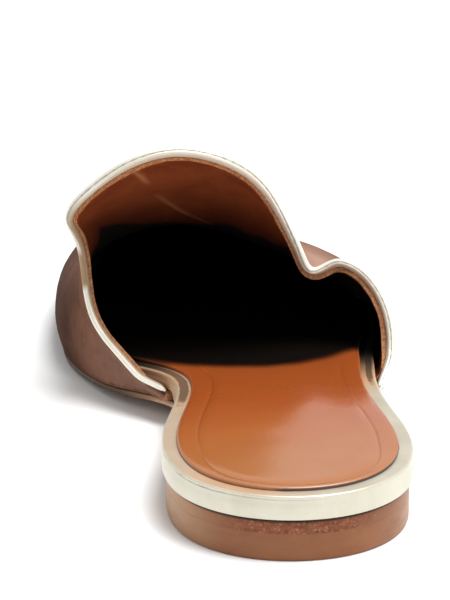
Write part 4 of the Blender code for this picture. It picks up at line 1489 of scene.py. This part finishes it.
lateral, medial = sides(grown(FOOTBED_LOOP, -HEEL_INSET))
turn_to = np.linspace(0, math.pi / 2, SIDE_STEPS)
station = lateral[0, 1] + (HEEL_LENGTH - lateral[0, 1]) * (1 - np.cos(turn_to))
right, left = (at_stations(side, station) for side in (lateral, medial))
across = np.linspace(1, -1, BREAST_STEPS + 1)[1:-1]
middle, half = (right[-1, 0] + left[-1, 0]) / 2, (right[-1, 0] - left[-1, 0]) / 2
breast = np.c_[middle + half * across, HEEL_LENGTH - BREAST_HOLLOW * (1 - across ** 2)]
outline = np.vstack([right, breast, left[:0:-1]])
heel = Shell()
rows = []
for inset, z in HEEL_PROFILE:
    shrunk = outline - outward(outline) * inset
    wear = 0.4 if z < 0.3 else 0.1
    rows.append(heel.row(np.c_[shrunk, np.full(len(shrunk), z)], wear))
heel.bridge(rows, closed=True)
heel.face(rows[0])
heel.face(rows[-1])
heel_piece = heel.piece("heel_block", [stacked])
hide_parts("heel")

# %% [markdown]
# ## Studio
#
# A plain white floor and white surroundings, a large soft lamp overhead and a weak one behind the
# shoe. A sky picture would light it too, but it would show up in the glaze of the sock. Large
# rectangles give soft shadows and long calm highlights.

# %% Floor and lights
FLOOR_HALF = 3.0
low, high = [Vector(corner) for corner in cad_box]
centre = (low + high) / 2
floor_mesh = bpy.data.meshes.new("studio_floor")
corners = [(FLOOR_HALF * x, FLOOR_HALF * y, 0) for x, y in ((-1, -1), (1, -1), (1, 1), (-1, 1))]
floor_mesh.from_pydata(corners, [], [(0, 1, 2, 3)])
floor = in_scene("studio_floor", floor_mesh)
paper = Finish("white paper", Roughness=0.9)
paper.drive(Base_Color=paper.blend(paper.noise(3.0), "f2f2f2", "f6f6f6"))
floor_mesh.materials.append(paper.material)

world = bpy.data.worlds.new("white room")
world.use_nodes = True
background = world.node_tree.nodes["Background"].inputs
background["Color"].default_value = (1, 1, 1, 1)
background["Strength"].default_value = 0.66
bpy.context.scene.world = world


def look_at(made, place_at, target):
    made.location = place_at
    made.rotation_euler = (target - made.location).to_track_quat("-Z", "Y").to_euler()


def soft_lamp(name, place_at, size, watts):
    lamp = bpy.data.lights.new(name, "AREA")
    lamp.shape = "RECTANGLE"
    lamp.size, lamp.size_y = size
    lamp.energy = watts
    look_at(in_scene(name, lamp), place_at, centre)


soft_lamp("overhead", (0.42, -0.22, 1.5), (0.9, 0.9), 31)
soft_lamp("fill", (1.2, -1.2, 0.8), (0.8, 0.8), 2)
bpy.context.scene.view_settings.view_transform = "Standard"
print("studio set; floor", 2 * FLOOR_HALF, "m wide")

# %% [markdown]
# The camera stands behind and above the heel and looks into the mouth of the shoe. It stands well
# back with a long lens, so that the sole keeps its true proportions; from close by, the heel would
# look far too large.

# %% Camera
EYE, AIM = (-127.7, -1184.9, 454.6), (-6.5, 127.2, 23.5)
eye, aim = (Vector(place(point)) for point in (EYE, AIM))
view = bpy.data.cameras.new("camera")
view.sensor_fit = "HORIZONTAL"
view.sensor_width = 36
view.lens = 436
view.clip_end = 20
camera = in_scene("camera", view)
look_at(camera, eye, aim)
bpy.context.scene.camera = camera
print("camera is", round((aim - eye).length, 2), "m away")
